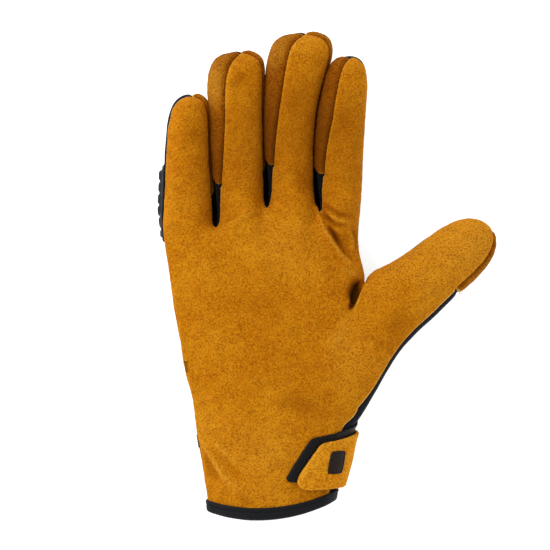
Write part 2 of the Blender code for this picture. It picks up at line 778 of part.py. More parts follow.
add_piece("palm_panel", *panel_wall(glove_skin, {PALM}, 0, None, SEAM_GAP / 2), tan_suede)
add_piece("back_panel", *panel_wall(glove_skin, {BACK, GUARDED}, 0, None, SEAM_GAP / 2), black_fabric)
add_piece("thumb_side_strip", *panel_wall(glove_skin, {THUMB_STRIP}, 0, None, SEAM_GAP / 2), side_suede)
wall_names = ("little_inner", "ring_inner", "middle_inner", "ring_outer", "middle_outer", "index_outer")
for number, wall_name in enumerate(wall_names):
    wall = panel_wall(glove_skin, {WALLS + number}, 0, None, SEAM_GAP / 2)
    add_piece(f"side_wall_{wall_name}", *wall, side_suede)
for number, gap_name in enumerate(("little_ring", "ring_middle", "middle_index")):
    gusset = panel_wall(glove_skin, {GUSSETS + number}, 0, None, SEAM_GAP / 2)
    add_piece(f"crotch_gusset_{gap_name}", *gusset, black_fabric)
guard = panel_wall(glove_skin, {GUARDED}, REST_GAP + GUARD_THICKNESS, REST_GAP, GUARD_SETBACK)
add_piece("knuckle_guard", *guard, slate_rubber)
add_binding(glove_skin, black_tape)

pad_lift = LAYER_GAP
strap_lift = pad_lift + PAD_THICKNESS + LAYER_GAP
label_lift = strap_lift + STRAP_THICKNESS + LAYER_GAP
pad_place = partial(wrap_outline, PAD)
strap_place = partial(wrap_outline, STRAP)
add_wrap("strap_hook_pad", skin_tree, pad_place, PAD_GRID, pad_lift, PAD_THICKNESS, black_hook)
add_wrap("wrist_strap", skin_tree, strap_place, STRAP_GRID, strap_lift, STRAP_THICKNESS, strap_suede)
add_wrap("strap_label", skin_tree, label_place, LABEL_GRID, label_lift, LABEL_THICKNESS, brown_patch)
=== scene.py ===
"""An insulated work glove lying on its back, palm up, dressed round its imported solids.

+X is the thumb side, +Y runs along the fingers and +Z comes out of the palm. Lengths are in metres.
"""

import math
from collections import namedtuple
from functools import partial

import bmesh
import bpy
import numpy as np
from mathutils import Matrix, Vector, kdtree, noise
from mathutils.bvhtree import BVHTree


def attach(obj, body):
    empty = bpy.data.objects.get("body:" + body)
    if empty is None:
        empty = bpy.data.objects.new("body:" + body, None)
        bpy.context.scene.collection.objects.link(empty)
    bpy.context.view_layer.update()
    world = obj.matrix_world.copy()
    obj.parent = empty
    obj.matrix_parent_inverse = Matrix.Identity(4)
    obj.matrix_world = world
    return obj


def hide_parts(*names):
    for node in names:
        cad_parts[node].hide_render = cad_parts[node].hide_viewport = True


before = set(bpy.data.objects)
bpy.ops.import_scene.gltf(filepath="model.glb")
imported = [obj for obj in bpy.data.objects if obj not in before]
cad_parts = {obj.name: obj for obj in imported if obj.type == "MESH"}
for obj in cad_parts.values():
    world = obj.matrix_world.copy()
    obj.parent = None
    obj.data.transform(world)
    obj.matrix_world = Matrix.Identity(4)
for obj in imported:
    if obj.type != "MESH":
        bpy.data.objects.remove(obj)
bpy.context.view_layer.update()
MM = 0.001


# Camera, floor and light
# The photograph looks straight down on the palm through a long lens. The floor is a plain white sheet,
# and the light is that of a white studio tent with one soft lamp up on the left.
VIEW_CENTRE = (0.0069, 0.02915)
VIEW_WIDTH = 0.2915
MID_HEIGHT = 0.020
LENS_MM = 150
SENSOR_MM = 36
FLOOR_SIDE = 6.0
FLOOR_DROP = 0.0001
TENT_LIGHT = 0.72
KEY_WATTS = 3.4
KEY_SIDE = 0.5
KEY_PLACE = (-0.55, 0.35, 0.75)
FLOOR_GLOW = 0.7
MIX_A, MIX_B, MIX_RESULT = 6, 7, 2


def linear(hex_colour):
    """The linear colour of an sRGB hex value."""
    channels = []
    for place in (0, 2, 4):
        value = int(hex_colour[place : place + 2], 16) / 255
        channels.append(value / 12.92 if value <= 0.04045 else ((value + 0.055) / 1.055) ** 2.4)
    return (*channels, 1.0)


def add_node(tree, kind, inputs=None, **settings):
    """A node with its settings, and each input given a value or linked from a socket."""
    node = tree.nodes.new(kind)
    for name, value in settings.items():
        setattr(node, name, value)
    for name, value in (inputs or {}).items():
        if isinstance(value, bpy.types.NodeSocket):
            tree.links.new(value, node.inputs[name])
        else:
            node.inputs[name].default_value = value
    return node


def linked(name, data):
    """A new object in the scene."""
    made = bpy.data.objects.new(name, data)
    bpy.context.scene.collection.objects.link(made)
    return made


def new_material(name):
    """An empty material, with its node tree."""
    made = bpy.data.materials.new(name)
    made.use_nodes = True
    made.node_tree.nodes.clear()
    return made, made.node_tree


def object_place(tree):
    """The place of each point on its object, for textures."""
    return add_node(tree, "ShaderNodeTexCoord").outputs["Object"]


def noise_at(tree, place, size, detail, roughness=0.5):
    """Cloudy noise with features of this size in metres."""
    inputs = {"Vector": place, "Scale": 1 / size, "Detail": detail, "Roughness": roughness}
    return add_node(tree, "ShaderNodeTexNoise", inputs).outputs["Fac"]


def cells_at(tree, place, size):
    """Small round cells of this size in metres."""
    inputs = {"Vector": place, "Scale": 1 / size}
    return add_node(tree, "ShaderNodeTexVoronoi", inputs).outputs["Distance"]


def share_of(tree, value, start, stop, most):
    """A share that grows from 0 to most while the value runs from start to stop."""
    inputs = {"Value": value, "From Min": start, "From Max": stop, "To Min": 0.0, "To Max": most}
    return add_node(tree, "ShaderNodeMapRange", inputs).outputs["Result"]


def blend(tree, share, first, second):
    """The colour that lies this share of the way from the first colour to the second."""
    inputs = {0: share, MIX_A: first, MIX_B: second}
    return add_node(tree, "ShaderNodeMix", inputs, data_type="RGBA").outputs[MIX_RESULT]


def bump(tree, height, strength, depth, under=None, invert=False):
    """The facing of a surface with this height on it, over another bump if one is under it."""
    inputs = {"Height": height, "Strength": strength, "Distance": depth}
    if under is not None:
        inputs["Normal"] = under
    return add_node(tree, "ShaderNodeBump", inputs, invert=invert).outputs["Normal"]


def finish_material(tree, look):
    """Ends a material's tree with its one surface shader."""
    shader = add_node(tree, "ShaderNodeBsdfPrincipled", look)
    add_node(tree, "ShaderNodeOutputMaterial", {"Surface": shader.outputs[0]})


camera = linked("camera", bpy.data.cameras.new("camera"))
camera.data.lens = LENS_MM
camera.data.sensor_width = SENSOR_MM
camera.location = (*VIEW_CENTRE, MID_HEIGHT + VIEW_WIDTH / SENSOR_MM * LENS_MM)
bpy.context.scene.camera = camera
bpy.context.scene.view_settings.view_transform = "Standard"

world = bpy.data.worlds.new("white_tent")
world.use_nodes = True
world.node_tree.nodes["Background"].inputs["Color"].default_value = (1, 1, 1, 1)
world.node_tree.nodes["Background"].inputs["Strength"].default_value = TENT_LIGHT
bpy.context.scene.world = world

key = linked("key_lamp", bpy.data.lights.new("key_lamp", "AREA"))
key.data.energy = KEY_WATTS
key.data.size = KEY_SIDE
key.location = KEY_PLACE
key.rotation_euler = (Vector((*VIEW_CENTRE, 0)) - key.location).to_track_quat("-Z", "Y").to_euler()

floor_mesh = bpy.data.meshes.new("floor")
half = FLOOR_SIDE / 2
square = ((-half, -half), (half, -half), (half, half), (-half, half))
floor_mesh.from_pydata([(across, ahead, -FLOOR_DROP) for across, ahead in square], [], [(0, 1, 2, 3)])
paper, paper_tree = new_material("white_paper_sweep")
paper_look = {
    "Base Color": linear("FAFAF8"),
    "Roughness": 0.9,
    "Specular IOR Level": 0.1,
    "Emission Color": (1, 1, 1, 1),
    "Emission Strength": FLOOR_GLOW,
}
finish_material(paper_tree, paper_look)
floor_mesh.materials.append(paper)
floor = linked("floor", floor_mesh)


# Form of the glove
# The glove keeps the form of a hand, and every suede and cloth panel is cut from one smooth skin over
# that form. The skin is made from rows across the palm and rings round each finger and the thumb, with
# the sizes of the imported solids, and is drawn finely enough to be creased and seamed.
PALM_WIDTH = 0.108
PALM_LENGTH = 0.159
PALM_DEPTH = 0.040
FINGER_GAP = 0.0006
SLOT_WIDTH = 0.0042
FINGER_DEPTH = 0.0262
LITTLE_LENGTH = 0.068
RING_LENGTH = 0.087
MIDDLE_LENGTH = 0.093
INDEX_LENGTH = 0.080
THUMB_REACH = 0.068
THUMB_RISE = 0.067
THUMB_WIDTH = 0.036
THUMB_DEPTH = 0.030
WALL = 0.0024
GUSSET_WALL = 0.0010
WEB_RISE = 0.009
FINGER_CURL = 0.009
GUARD_THICKNESS = 0.0024
REST_GAP = 0.0003
BINDING_HEIGHT = 0.0052
ORIGIN_ALONG = 0.59
FRONT_POWER = 2.1
BACK_POWER = 2.7
FINGER_POWER = 2.25
DOME_START = 0.85
DOME_POWER = 2.3
TIP_TILT = 0.34
TILT_START = 0.4
CURL_POWER = 1.6
NARROW_START = 0.5
NARROW_POWER = 1.5
FINGER_COLUMNS = 3
THUMB_COLUMNS = 5
GUSSET_RINGS = 2
GUARD_RINGS = 3
GUARD_COLUMN = FINGER_COLUMNS + 3
PULL_ROUNDS = 4
COARSE_LEVEL = 3
FINE_LEVEL = 4

# Along is a share of the palm's length from the hem, left and right are shares of its width from the
# origin, and mid, front and back are shares of its depth. A sag below zero draws the middle of the row
# towards the hem, and turn is the angle at which its right side ends.
PalmRow = namedtuple("PalmRow", "along_left along_right sag left right turn mid front back")
KNUCKLE_ROW = PalmRow(0.885, 0.875, 0.0, -0.478, 0.478, 90, 0.46, 0.43, 0.375)
THUMB_ROWS = (
    PalmRow(0.765, 0.755, 0.0, -0.455, 0.507, 90, 0.46, 0.45, 0.49),
    PalmRow(0.660, 0.664, 0.0, -0.431, 0.432, 38, 0.46, 0.46, 0.52),
    PalmRow(0.560, 0.565, 0.0, -0.404, 0.404, 20, 0.47, 0.46, 0.53),
    PalmRow(0.457, 0.470, 0.0, -0.377, 0.404, 22, 0.48, 0.46, 0.54),
    PalmRow(0.352, 0.335, 0.0, -0.340, 0.461, 60, 0.49, 0.47, 0.55),
    PalmRow(0.255, 0.270, 0.0, -0.322, 0.452, 90, 0.50, 0.48, 0.55),
)
HEM_ROW = PalmRow(-0.004, 0.032, -0.035, -0.258, 0.356, 90, 0.54, 0.50, 0.494)
BINDING_SHARE = BINDING_HEIGHT / PALM_LENGTH
WRIST_ROWS = (
    PalmRow(0.150, 0.160, -0.010, -0.294, 0.408, 90, 0.52, 0.49, 0.535),
    HEM_ROW._replace(
        along_left=HEM_ROW.along_left + BINDING_SHARE,
        along_right=HEM_ROW.along_right + BINDING_SHARE,
        left=HEM_ROW.left - 0.006,
        right=HEM_ROW.right + 0.010,
        front=HEM_ROW.front - 0.005,
        back=HEM_ROW.back + 0.010,
    ),
    HEM_ROW,
)
COLUMN_TURNS = (-80, -25, 4, 36, 62, 90)

# How far the suede's border under the thumb is moved towards a straight line.
BORDER_EASE = 0.0014

# The lines that bound the fingers. Across and along place the crotch, and drift and bow are the line's
# sideways run up to the middle fingertip, as shares of the palm's width.
Edge = namedtuple("Edge", "across along drift bow")
EDGES = (
    Edge(-0.487, 0.950, 0.045, -0.004),
    Edge(-0.2255, 0.933, -0.039, -0.009),
    Edge(0.0245, 0.997, -0.011, -0.010),
    Edge(0.279, 0.983, 0.098, -0.060),
    Edge(0.485, 1.003, 0.045, 0.000),
)
CROTCH_MID = 0.46
CROTCH_FRONT = 0.40
CROTCH_BACK = 0.36
CROTCH_TURN_FRONT = 66
CROTCH_TURN_BACK = 52
SLOT_AT_BACK = 0.3
SLOT_AT_SIDE = 0.15
SLOT_GROWTH = 1.3
WEB_DIP = 0.1
WEB_SPREAD = 1.4

# Narrowing is the share of the half width lost towards the little finger by the tip, and lean the share
# by which the tip is drawn towards the thumb.
Finger = namedtuple("Finger", "name length narrowing lean")
FINGERS = (
    Finger("little", LITTLE_LENGTH, 0.18, 0.10),
    Finger("ring", RING_LENGTH, 0.04, 0.14),
    Finger("middle", MIDDLE_LENGTH, 0.24, -0.06),
    Finger("index", INDEX_LENGTH, 0.05, -0.08),
)
FingerRing = namedtuple("FingerRing", "along slot depth seam span")
FINGER_RINGS = (
    FingerRing(0.09, 1.00, 1.00, 68, 54),
    FingerRing(0.24, 0.45, 1.00, 50, 70),
    FingerRing(0.44, 0.00, 1.00, 34, 86),
    FingerRing(0.63, 0.00, 0.97, 27, 90),
    FingerRing(0.82, 0.00, 0.95, 26, 90),
    FingerRing(0.95, 0.00, 0.94, 26, 90),
)
LITTLE_SEAM = -72
INDEX_SEAM = 84
INNER_SEAM = 78
SEAM_SHIFT = 1 / 3

# Reach and rise are shares of the thumb's reach and rise from its root, slant the angle of the section
# from straight down, and mid its height as a share of the palm's depth.
ThumbRing = namedtuple("ThumbRing", "reach rise width depth slant mid")
THUMB_ROOT_ACROSS = 0.490
THUMB_ROOT_ALONG = 0.507
THUMB_RINGS = (
    ThumbRing(0.070, 0.155, 1.730, 1.16, 3, 0.480),
    ThumbRing(0.220, 0.358, 1.260, 1.12, 14, 0.490),
    ThumbRing(0.400, 0.515, 1.035, 1.06, 28, 0.502),
    ThumbRing(0.600, 0.690, 0.930, 1.00, 38, 0.520),
    ThumbRing(0.790, 0.845, 0.840, 0.92, 38, 0.540),
    ThumbRing(0.912, 0.942, 0.640, 0.74, 38, 0.555),
    ThumbRing(0.970, 0.990, 0.360, 0.44, 38, 0.560),
)
THUMB_TIP = ThumbRing(1.000, 1.005, 0.0, 0.0, 38, 0.560)
THUMB_TURNS = (-90, -52, -17, 20, 58, 90)
THUMB_STRIP_START = 4

PALM, BACK, GUARDED, THUMB_STRIP, WALLS = 0, 1, 2, 3, 4
GUSSETS = WALLS + 6
OPEN_HEM = -1
Skin = namedtuple("Skin", "points normals quads panels")


def along(share):
    return (share - ORIGIN_ALONG) * PALM_LENGTH


def rounded(turn, power):
    """Sideways and upward shares of a rounded section at this turn in degrees, 0 straight up."""
    side = math.sin(math.radians(turn))
    up = math.cos(math.radians(turn))
    length = (abs(side) ** power + abs(up) ** power) ** (1 / power)
    return side / length, up / length


def column_turns():
    """The turn of every front column, three to a finger."""
    bounds = COLUMN_TURNS
    turns = []
    for first, last in zip(bounds[:3], bounds[1:4]):
        turns += [first + (last - first) * step / FINGER_COLUMNS for step in range(FINGER_COLUMNS)]
    return turns + [bounds[3], (bounds[3] + bounds[4]) / 2, bounds[4], bounds[5]]


def palm_points(row, front):
    """The points of one palm row, from the little finger's side to the thumb's."""
    sides = [math.sin(math.radians(turn)) for turn in column_turns()]
    end = math.sin(math.radians(row.turn))
    power = FRONT_POWER if front else BACK_POWER
    points = []
    for side in sides:
        share = (side - sides[0]) / (sides[-1] - sides[0])
        scaled = sides[0] + share * (end - sides[0])
        height = max(0.0, 1 - abs(scaled) ** power) ** (1 / power)
        rise = row.mid + (row.front if front else -row.back) * height
        level = row.along_left + (row.along_right - row.along_left) * share
        level += row.sag * 4 * share * (1 - share)
        across = row.left + share * (row.right - row.left)
        points.append(Vector((across * PALM_WIDTH, along(level), rise * PALM_DEPTH)))
    return points


def crotch_points(front):
    """The points of the row where the fingers part, which starts higher up the fingers on the back."""
    points = []
    crotch_turn = CROTCH_TURN_FRONT if front else CROTCH_TURN_BACK
    for number in range(4):
        left, right = EDGES[number], EDGES[number + 1]
        first = COLUMN_TURNS[0] if number == 0 else -crotch_turn
        last = COLUMN_TURNS[-1] if number == 3 else crotch_turn
        low, high = rounded(first, FINGER_POWER)[0], rounded(last, FINGER_POWER)[0]
        for step in range(1 if number else 0, FINGER_COLUMNS + 1):
            share = step / FINGER_COLUMNS
            side, up = rounded(first + (last - first) * share, FINGER_POWER)
            placed = (side - low) / (high - low)
            across = left.across + placed * (right.across - left.across)
            level = along(left.along + placed * (right.along - left.along))
            rise = CROTCH_MID + CROTCH_FRONT * up
            if not front:
                rise = CROTCH_MID - CROTCH_BACK * up
                outer = placed if number == 0 else 1 - placed if number == 3 else 1.0
                level += WEB_RISE * math.sin(min(1.0, outer * WEB_SPREAD) * math.pi / 2)
            points.append(Vector((across * PALM_WIDTH, level, rise * PALM_DEPTH)))
    return points


def finger_turns(ring, number):
    """The turns round a finger: front columns, right wall, back columns and left wall."""
    shift = (ring.seam - FINGER_RINGS[-1].seam) * SEAM_SHIFT
    left_front = LITTLE_SEAM if number == 0 else -ring.seam
    right_front = INDEX_SEAM if number == 3 else INNER_SEAM + shift
    right_back = right_front if number == 3 else right_front + ring.span
    left_back = left_front if number == 0 else left_front - ring.span
    steps = [step / FINGER_COLUMNS for step in range(FINGER_COLUMNS + 1)]
    turns = [left_front + (right_front - left_front) * share for share in steps]
    if number < 3:
        turns.append((right_front + right_back) / 2)
    back = [right_back + (left_back + 360 - right_back) * share for share in steps]
    turns += back if number < 3 else back[1:]
    if number == 0:
        return turns[:-1]
    return turns + [(left_back + left_front) / 2]


def edge_line(edge, level):
    """Where a line that bounds the fingers runs at this height."""
    share = max(0.0, (level - along(edge.along)) / MIDDLE_LENGTH)
    return (edge.across + edge.drift * share + edge.bow * 4 * share * (1 - share)) * PALM_WIDTH


def finger_bounds(number, level, slot):
    """Left and right limits of a finger at this height, clear of its neighbours."""
    clear = (FINGER_GAP + slot * SLOT_WIDTH) / 2
    left = edge_line(EDGES[number], level) + (clear if number > 0 else 0.0)
    right = edge_line(EDGES[number + 1], level) - (clear if number < 3 else 0.0)
    return left, right


def past(start, share):
    """How far this share of a finger is on its way from the start to the tip."""
    return max(0.0, (share - start) / (1 - start))


def finger_root(number):
    return along((EDGES[number].along + EDGES[number + 1].along) / 2)


def finger_middle(finger, number, share, level, slot):
    """Sideways centre and half width of a finger at this share of its length and this height."""
    left, right = finger_bounds(number, level, slot)
    span = (right - left) / 2
    lost = finger.narrowing * past(NARROW_START, share) ** NARROW_POWER * span
    return (left + lost + right) / 2 + finger.lean * past(DOME_START, share) * span, span - lost / 2


def finger_point(finger, number, ring, turn, base):
    """A point of a finger at this turn, above the base point that its column starts from."""
    share = ring.along
    closing = (1 - past(DOME_START, share) ** DOME_POWER) ** (1 / DOME_POWER)
    side, up = rounded(turn, FINGER_POWER)
    half_depth = FINGER_DEPTH / 2 * ring.depth * closing
    middle = CROTCH_MID * PALM_DEPTH + FINGER_CURL * share**CURL_POWER
    tilt = TIP_TILT * min(1.0, max(0.0, share / TILT_START - 1)) * half_depth * up
    level = base.y + share * (finger_root(number) + finger.length - base.y) - tilt
    slot = ring.slot * min(1.0, max(SLOT_AT_BACK, SLOT_AT_SIDE + SLOT_GROWTH * up))
    across, span = finger_middle(finger, number, share, level, slot)
    return Vector((across + span * closing * side, level, middle + half_depth * up))


def finger_tip(finger, number):
    level = finger_root(number) + finger.length
    across, _ = finger_middle(finger, number, 1.0, level, 0.0)
    return Vector((across, level, CROTCH_MID * PALM_DEPTH + FINGER_CURL))


def thumb_point(ring, turn):
    side, up = rounded(turn, FINGER_POWER)
    slant = math.radians(ring.slant)
    down_across = Vector((math.sin(slant), -math.cos(slant), 0))
    reach = THUMB_ROOT_ACROSS * PALM_WIDTH + ring.reach * THUMB_REACH
    centre = Vector((reach, along(THUMB_ROOT_ALONG) + ring.rise * THUMB_RISE, ring.mid * PALM_DEPTH))
    rise = Vector((0, 0, ring.depth * THUMB_DEPTH / 2 * up))
    return centre + down_across * (ring.width * THUMB_WIDTH / 2 * side) + rise


def build_cage():
    """The whole glove as one coarse surface, open at the hem, whose faces carry the panel they are in."""
    points = []
    faces = []

    def add(point):
        points.append(point)
        return len(points) - 1

    def join(lower, upper, panels):
        """Quads between two closed rings, with a panel for each step round them."""
        for step, panel in enumerate(panels):
            after = (step + 1) % len(lower)
            faces.append(((lower[step], lower[after], upper[after], upper[step]), panel))

    def close(lower, tip, panels):
        """Triangles from a ring to a tip."""
        for step, panel in enumerate(panels):
            faces.append(((lower[step], lower[(step + 1) % len(lower)], tip), panel))

    rows = [None, KNUCKLE_ROW, *THUMB_ROWS, *WRIST_ROWS]
    last = len(FINGERS) * FINGER_COLUMNS
    fronts = []
    backs = []
    for number, row in enumerate(rows):
        made = palm_points(row, True) if row else crotch_points(True)
        fronts.append([add(point) for point in made])
        made = palm_points(row, False) if row else crotch_points(False)
        open_right = row is not None and row.turn < 90
        line = [fronts[number][0]] + [add(point) for point in made[1:last]]
        backs.append(line + [add(made[last]) if open_right else fronts[number][last]])

    root_row = 1 + len(THUMB_ROWS)
    for number in range(len(rows) - 1):
        front, next_front = fronts[number], fronts[number + 1]
        back, next_back = backs[number], backs[number + 1]
        for column in range(last):
            quad = (front[column], next_front[column], next_front[column + 1], front[column + 1])
            at_edge = column == last - 1
            if at_edge and number == root_row - 1:
                faces.append(((quad[0], quad[1], quad[3]), PALM))
                faces.append(((quad[1], quad[2], quad[3]), BACK))
            else:
                faces.append((quad, BACK if at_edge and number >= root_row else PALM))
            quad = (back[column], back[column + 1], next_back[column + 1], next_back[column])
            faces.append((quad, GUARDED if number == 0 and not at_edge else BACK))
    points[fronts[root_row - 1][last]].x += BORDER_EASE
    points[fronts[root_row][last - 1]].x -= BORDER_EASE

    webs = []
    for number in (1, 2, 3):
        front = points[fronts[0][number * FINGER_COLUMNS]]
        back = points[backs[0][number * FINGER_COLUMNS]]
        middle = front.lerp(back, 0.5)
        middle.y -= WEB_DIP * WEB_RISE
        webs.append(add(middle))

    for number, finger in enumerate(FINGERS):
        first = number * FINGER_COLUMNS
        under = backs[0][first : first + FINGER_COLUMNS + 1][::-1]
        lower = list(fronts[0][first : first + FINGER_COLUMNS + 1])
        panels = [PALM] * FINGER_COLUMNS
        if number < 3:
            lower += [webs[number]] + under
            panels += [WALLS + number] * 2
        else:
            lower += under[1:]
        panels += [BACK] * FINGER_COLUMNS
        if number:
            lower.append(webs[number - 1])
            panels += [WALLS + 2 + number] * 2
        else:
            lower = lower[:-1]
        bases = [points[index] for index in lower]
        for step, ring in enumerate(FINGER_RINGS):
            turns = finger_turns(ring, number)
            spots = [finger_point(finger, number, ring, turn, base) for turn, base in zip(turns, bases)]
            upper = [add(spot) for spot in spots]
            made = []
            for panel in panels:
                if panel >= WALLS and step < GUSSET_RINGS:
                    made.append(GUSSETS + (panel - WALLS) % 3)
                elif number == 0 and panel == BACK and step < GUARD_RINGS and len(made) >= GUARD_COLUMN:
                    made.append(GUARDED)
                else:
                    made.append(panel)
            join(lower, upper, made)
            lower = upper
        close(lower, add(finger_tip(finger, number)), panels)

    lower = [fronts[2 + step][last] for step in range(THUMB_COLUMNS + 1)]
    lower += [backs[2 + step][last] for step in range(THUMB_COLUMNS - 1, 0, -1)]
    turns = list(THUMB_TURNS) + [180 - turn for turn in reversed(THUMB_TURNS[1:-1])]
    for step, ring in enumerate(THUMB_RINGS):
        edge = THUMB_STRIP if step >= THUMB_STRIP_START else BACK
        panels = [PALM] * (THUMB_COLUMNS - 1) + [edge] * 2 + [BACK] * (THUMB_COLUMNS - 1)
        upper = [add(thumb_point(ring, turn)) for turn in turns]
        join(lower, upper, panels)
        lower = upper
    close(lower, add(thumb_point(THUMB_TIP, 0)), panels)
    return points, faces


def read_skin(guide):
    """The guide's smooth surface as arrays of points, quads and the panel of each quad."""
    bpy.context.view_layer.update()
    evaluated = guide.evaluated_get(bpy.context.evaluated_depsgraph_get())
    mesh = evaluated.to_mesh()
    points = np.empty(len(mesh.vertices) * 3)
    mesh.vertices.foreach_get("co", points)
    corners = np.empty(len(mesh.loops), int)
    mesh.loops.foreach_get("vertex_index", corners)
    panels = np.empty(len(mesh.polygons), int)
    mesh.polygons.foreach_get("material_index", panels)
    evaluated.to_mesh_clear()
    return points.reshape(-1, 3), corners, panels


def surface_normals(points, quads):
    """The unit normal at each point, weighted by the area of the faces round it."""
    facing = np.cross(points[quads[:, 2]] - points[quads[:, 0]], points[quads[:, 3]] - points[quads[:, 1]])
    normals = np.zeros_like(points)
    for corner in range(4):
        np.add.at(normals, quads[:, corner], facing)
    return normals / np.maximum(np.linalg.norm(normals, axis=1), 1e-15)[:, None]


def pressed_skin(guide, level):
    """The skin at this fineness, pressed flat where it lies, and higher by the guard under the knuckles."""
    guide.modifiers["Smooth"].levels = level
    guide.modifiers["Smooth"].render_levels = level
    points, corners, panels = read_skin(guide)
    quads = corners.reshape(-1, 4)
    floor_level = np.zeros(len(points))
    floor_level[np.unique(quads[panels == GUARDED])] = GUARD_THICKNESS + REST_GAP
    points[:, 2] = np.maximum(points[:, 2], floor_level)
    return Skin(points, surface_normals(points, quads), quads, panels)


def face_outwards(mesh):
    """Turns the faces of a mesh to point outwards."""
    shape = bmesh.new()
    shape.from_mesh(mesh)
    bmesh.ops.recalc_face_normals(shape, faces=shape.faces)
    shape.to_mesh(mesh)
    shape.free()


cage_points, cage_faces = build_cage()
form_mesh = bpy.data.meshes.new("glove_form")
form_mesh.from_pydata([tuple(point) for point in cage_points], [], [list(face) for face, _ in cage_faces])
form_mesh.polygons.foreach_set("material_index", [panel for _, panel in cage_faces])
face_outwards(form_mesh)
form = linked("glove_form", form_mesh)
smooth = form.modifiers.new("Smooth", "SUBSURF")
smooth.boundary_smooth = "PRESERVE_CORNERS"
smooth.levels = 1
wanted = np.array([tuple(point) for point in cage_points])
pulled = wanted.copy()
for _ in range(PULL_ROUNDS):
    form_mesh.vertices.foreach_set("co", pulled.ravel())
    form_mesh.update()
    pulled += wanted - read_skin(form)[0][: len(wanted)]
form_mesh.vertices.foreach_set("co", pulled.ravel())
form_mesh.update()
coarse_skin = pressed_skin(form, COARSE_LEVEL)
fine_skin = pressed_skin(form, FINE_LEVEL)
bpy.data.objects.remove(form, do_unlink=True)


# Palm panel
# One piece of split pigskin suede covers the palm, the fronts of the fingers and the front of the thumb.
# It is sewn to the side walls with its edge turned in, and laid over the cloth back with its edge cut.
SEAM_DROP = 0.0014
SEAM_REACH = 0.0011
CUT_DROP = 0.0003
CUT_REACH = 0.0008
SLOT_DROP = 0.0006
SLOT_REACH = 0.0011
LUMP_SIZE = 0.017
LUMP_HEIGHT = 0.00035
PEBBLE_SIZE = 0.0036
PEBBLE_HEIGHT = 0.00016
NAP_SIZE = 0.0014
NAP_HEIGHT = 0.00007
HOLLOW_SHARE = 0.62
HOLLOW_MARGIN = 0.004
EDGE_WEAR = 1.6
SEAM_WEAR = 0.8
MOST_WEAR_AND_SHADING = 2.0
FURTHEST = 0.05
# Folds lighten the suede along their crests and paint shade into their valleys.
CREST_TONE = 0.34
VALLEY_PAINTED_SHADE = 0.45
PALM_FACING = 0.15
STRAP_LEFT = 0.018
STRAP_TOP = -0.050
FLAT_UNDER_STRAP = 0.0003

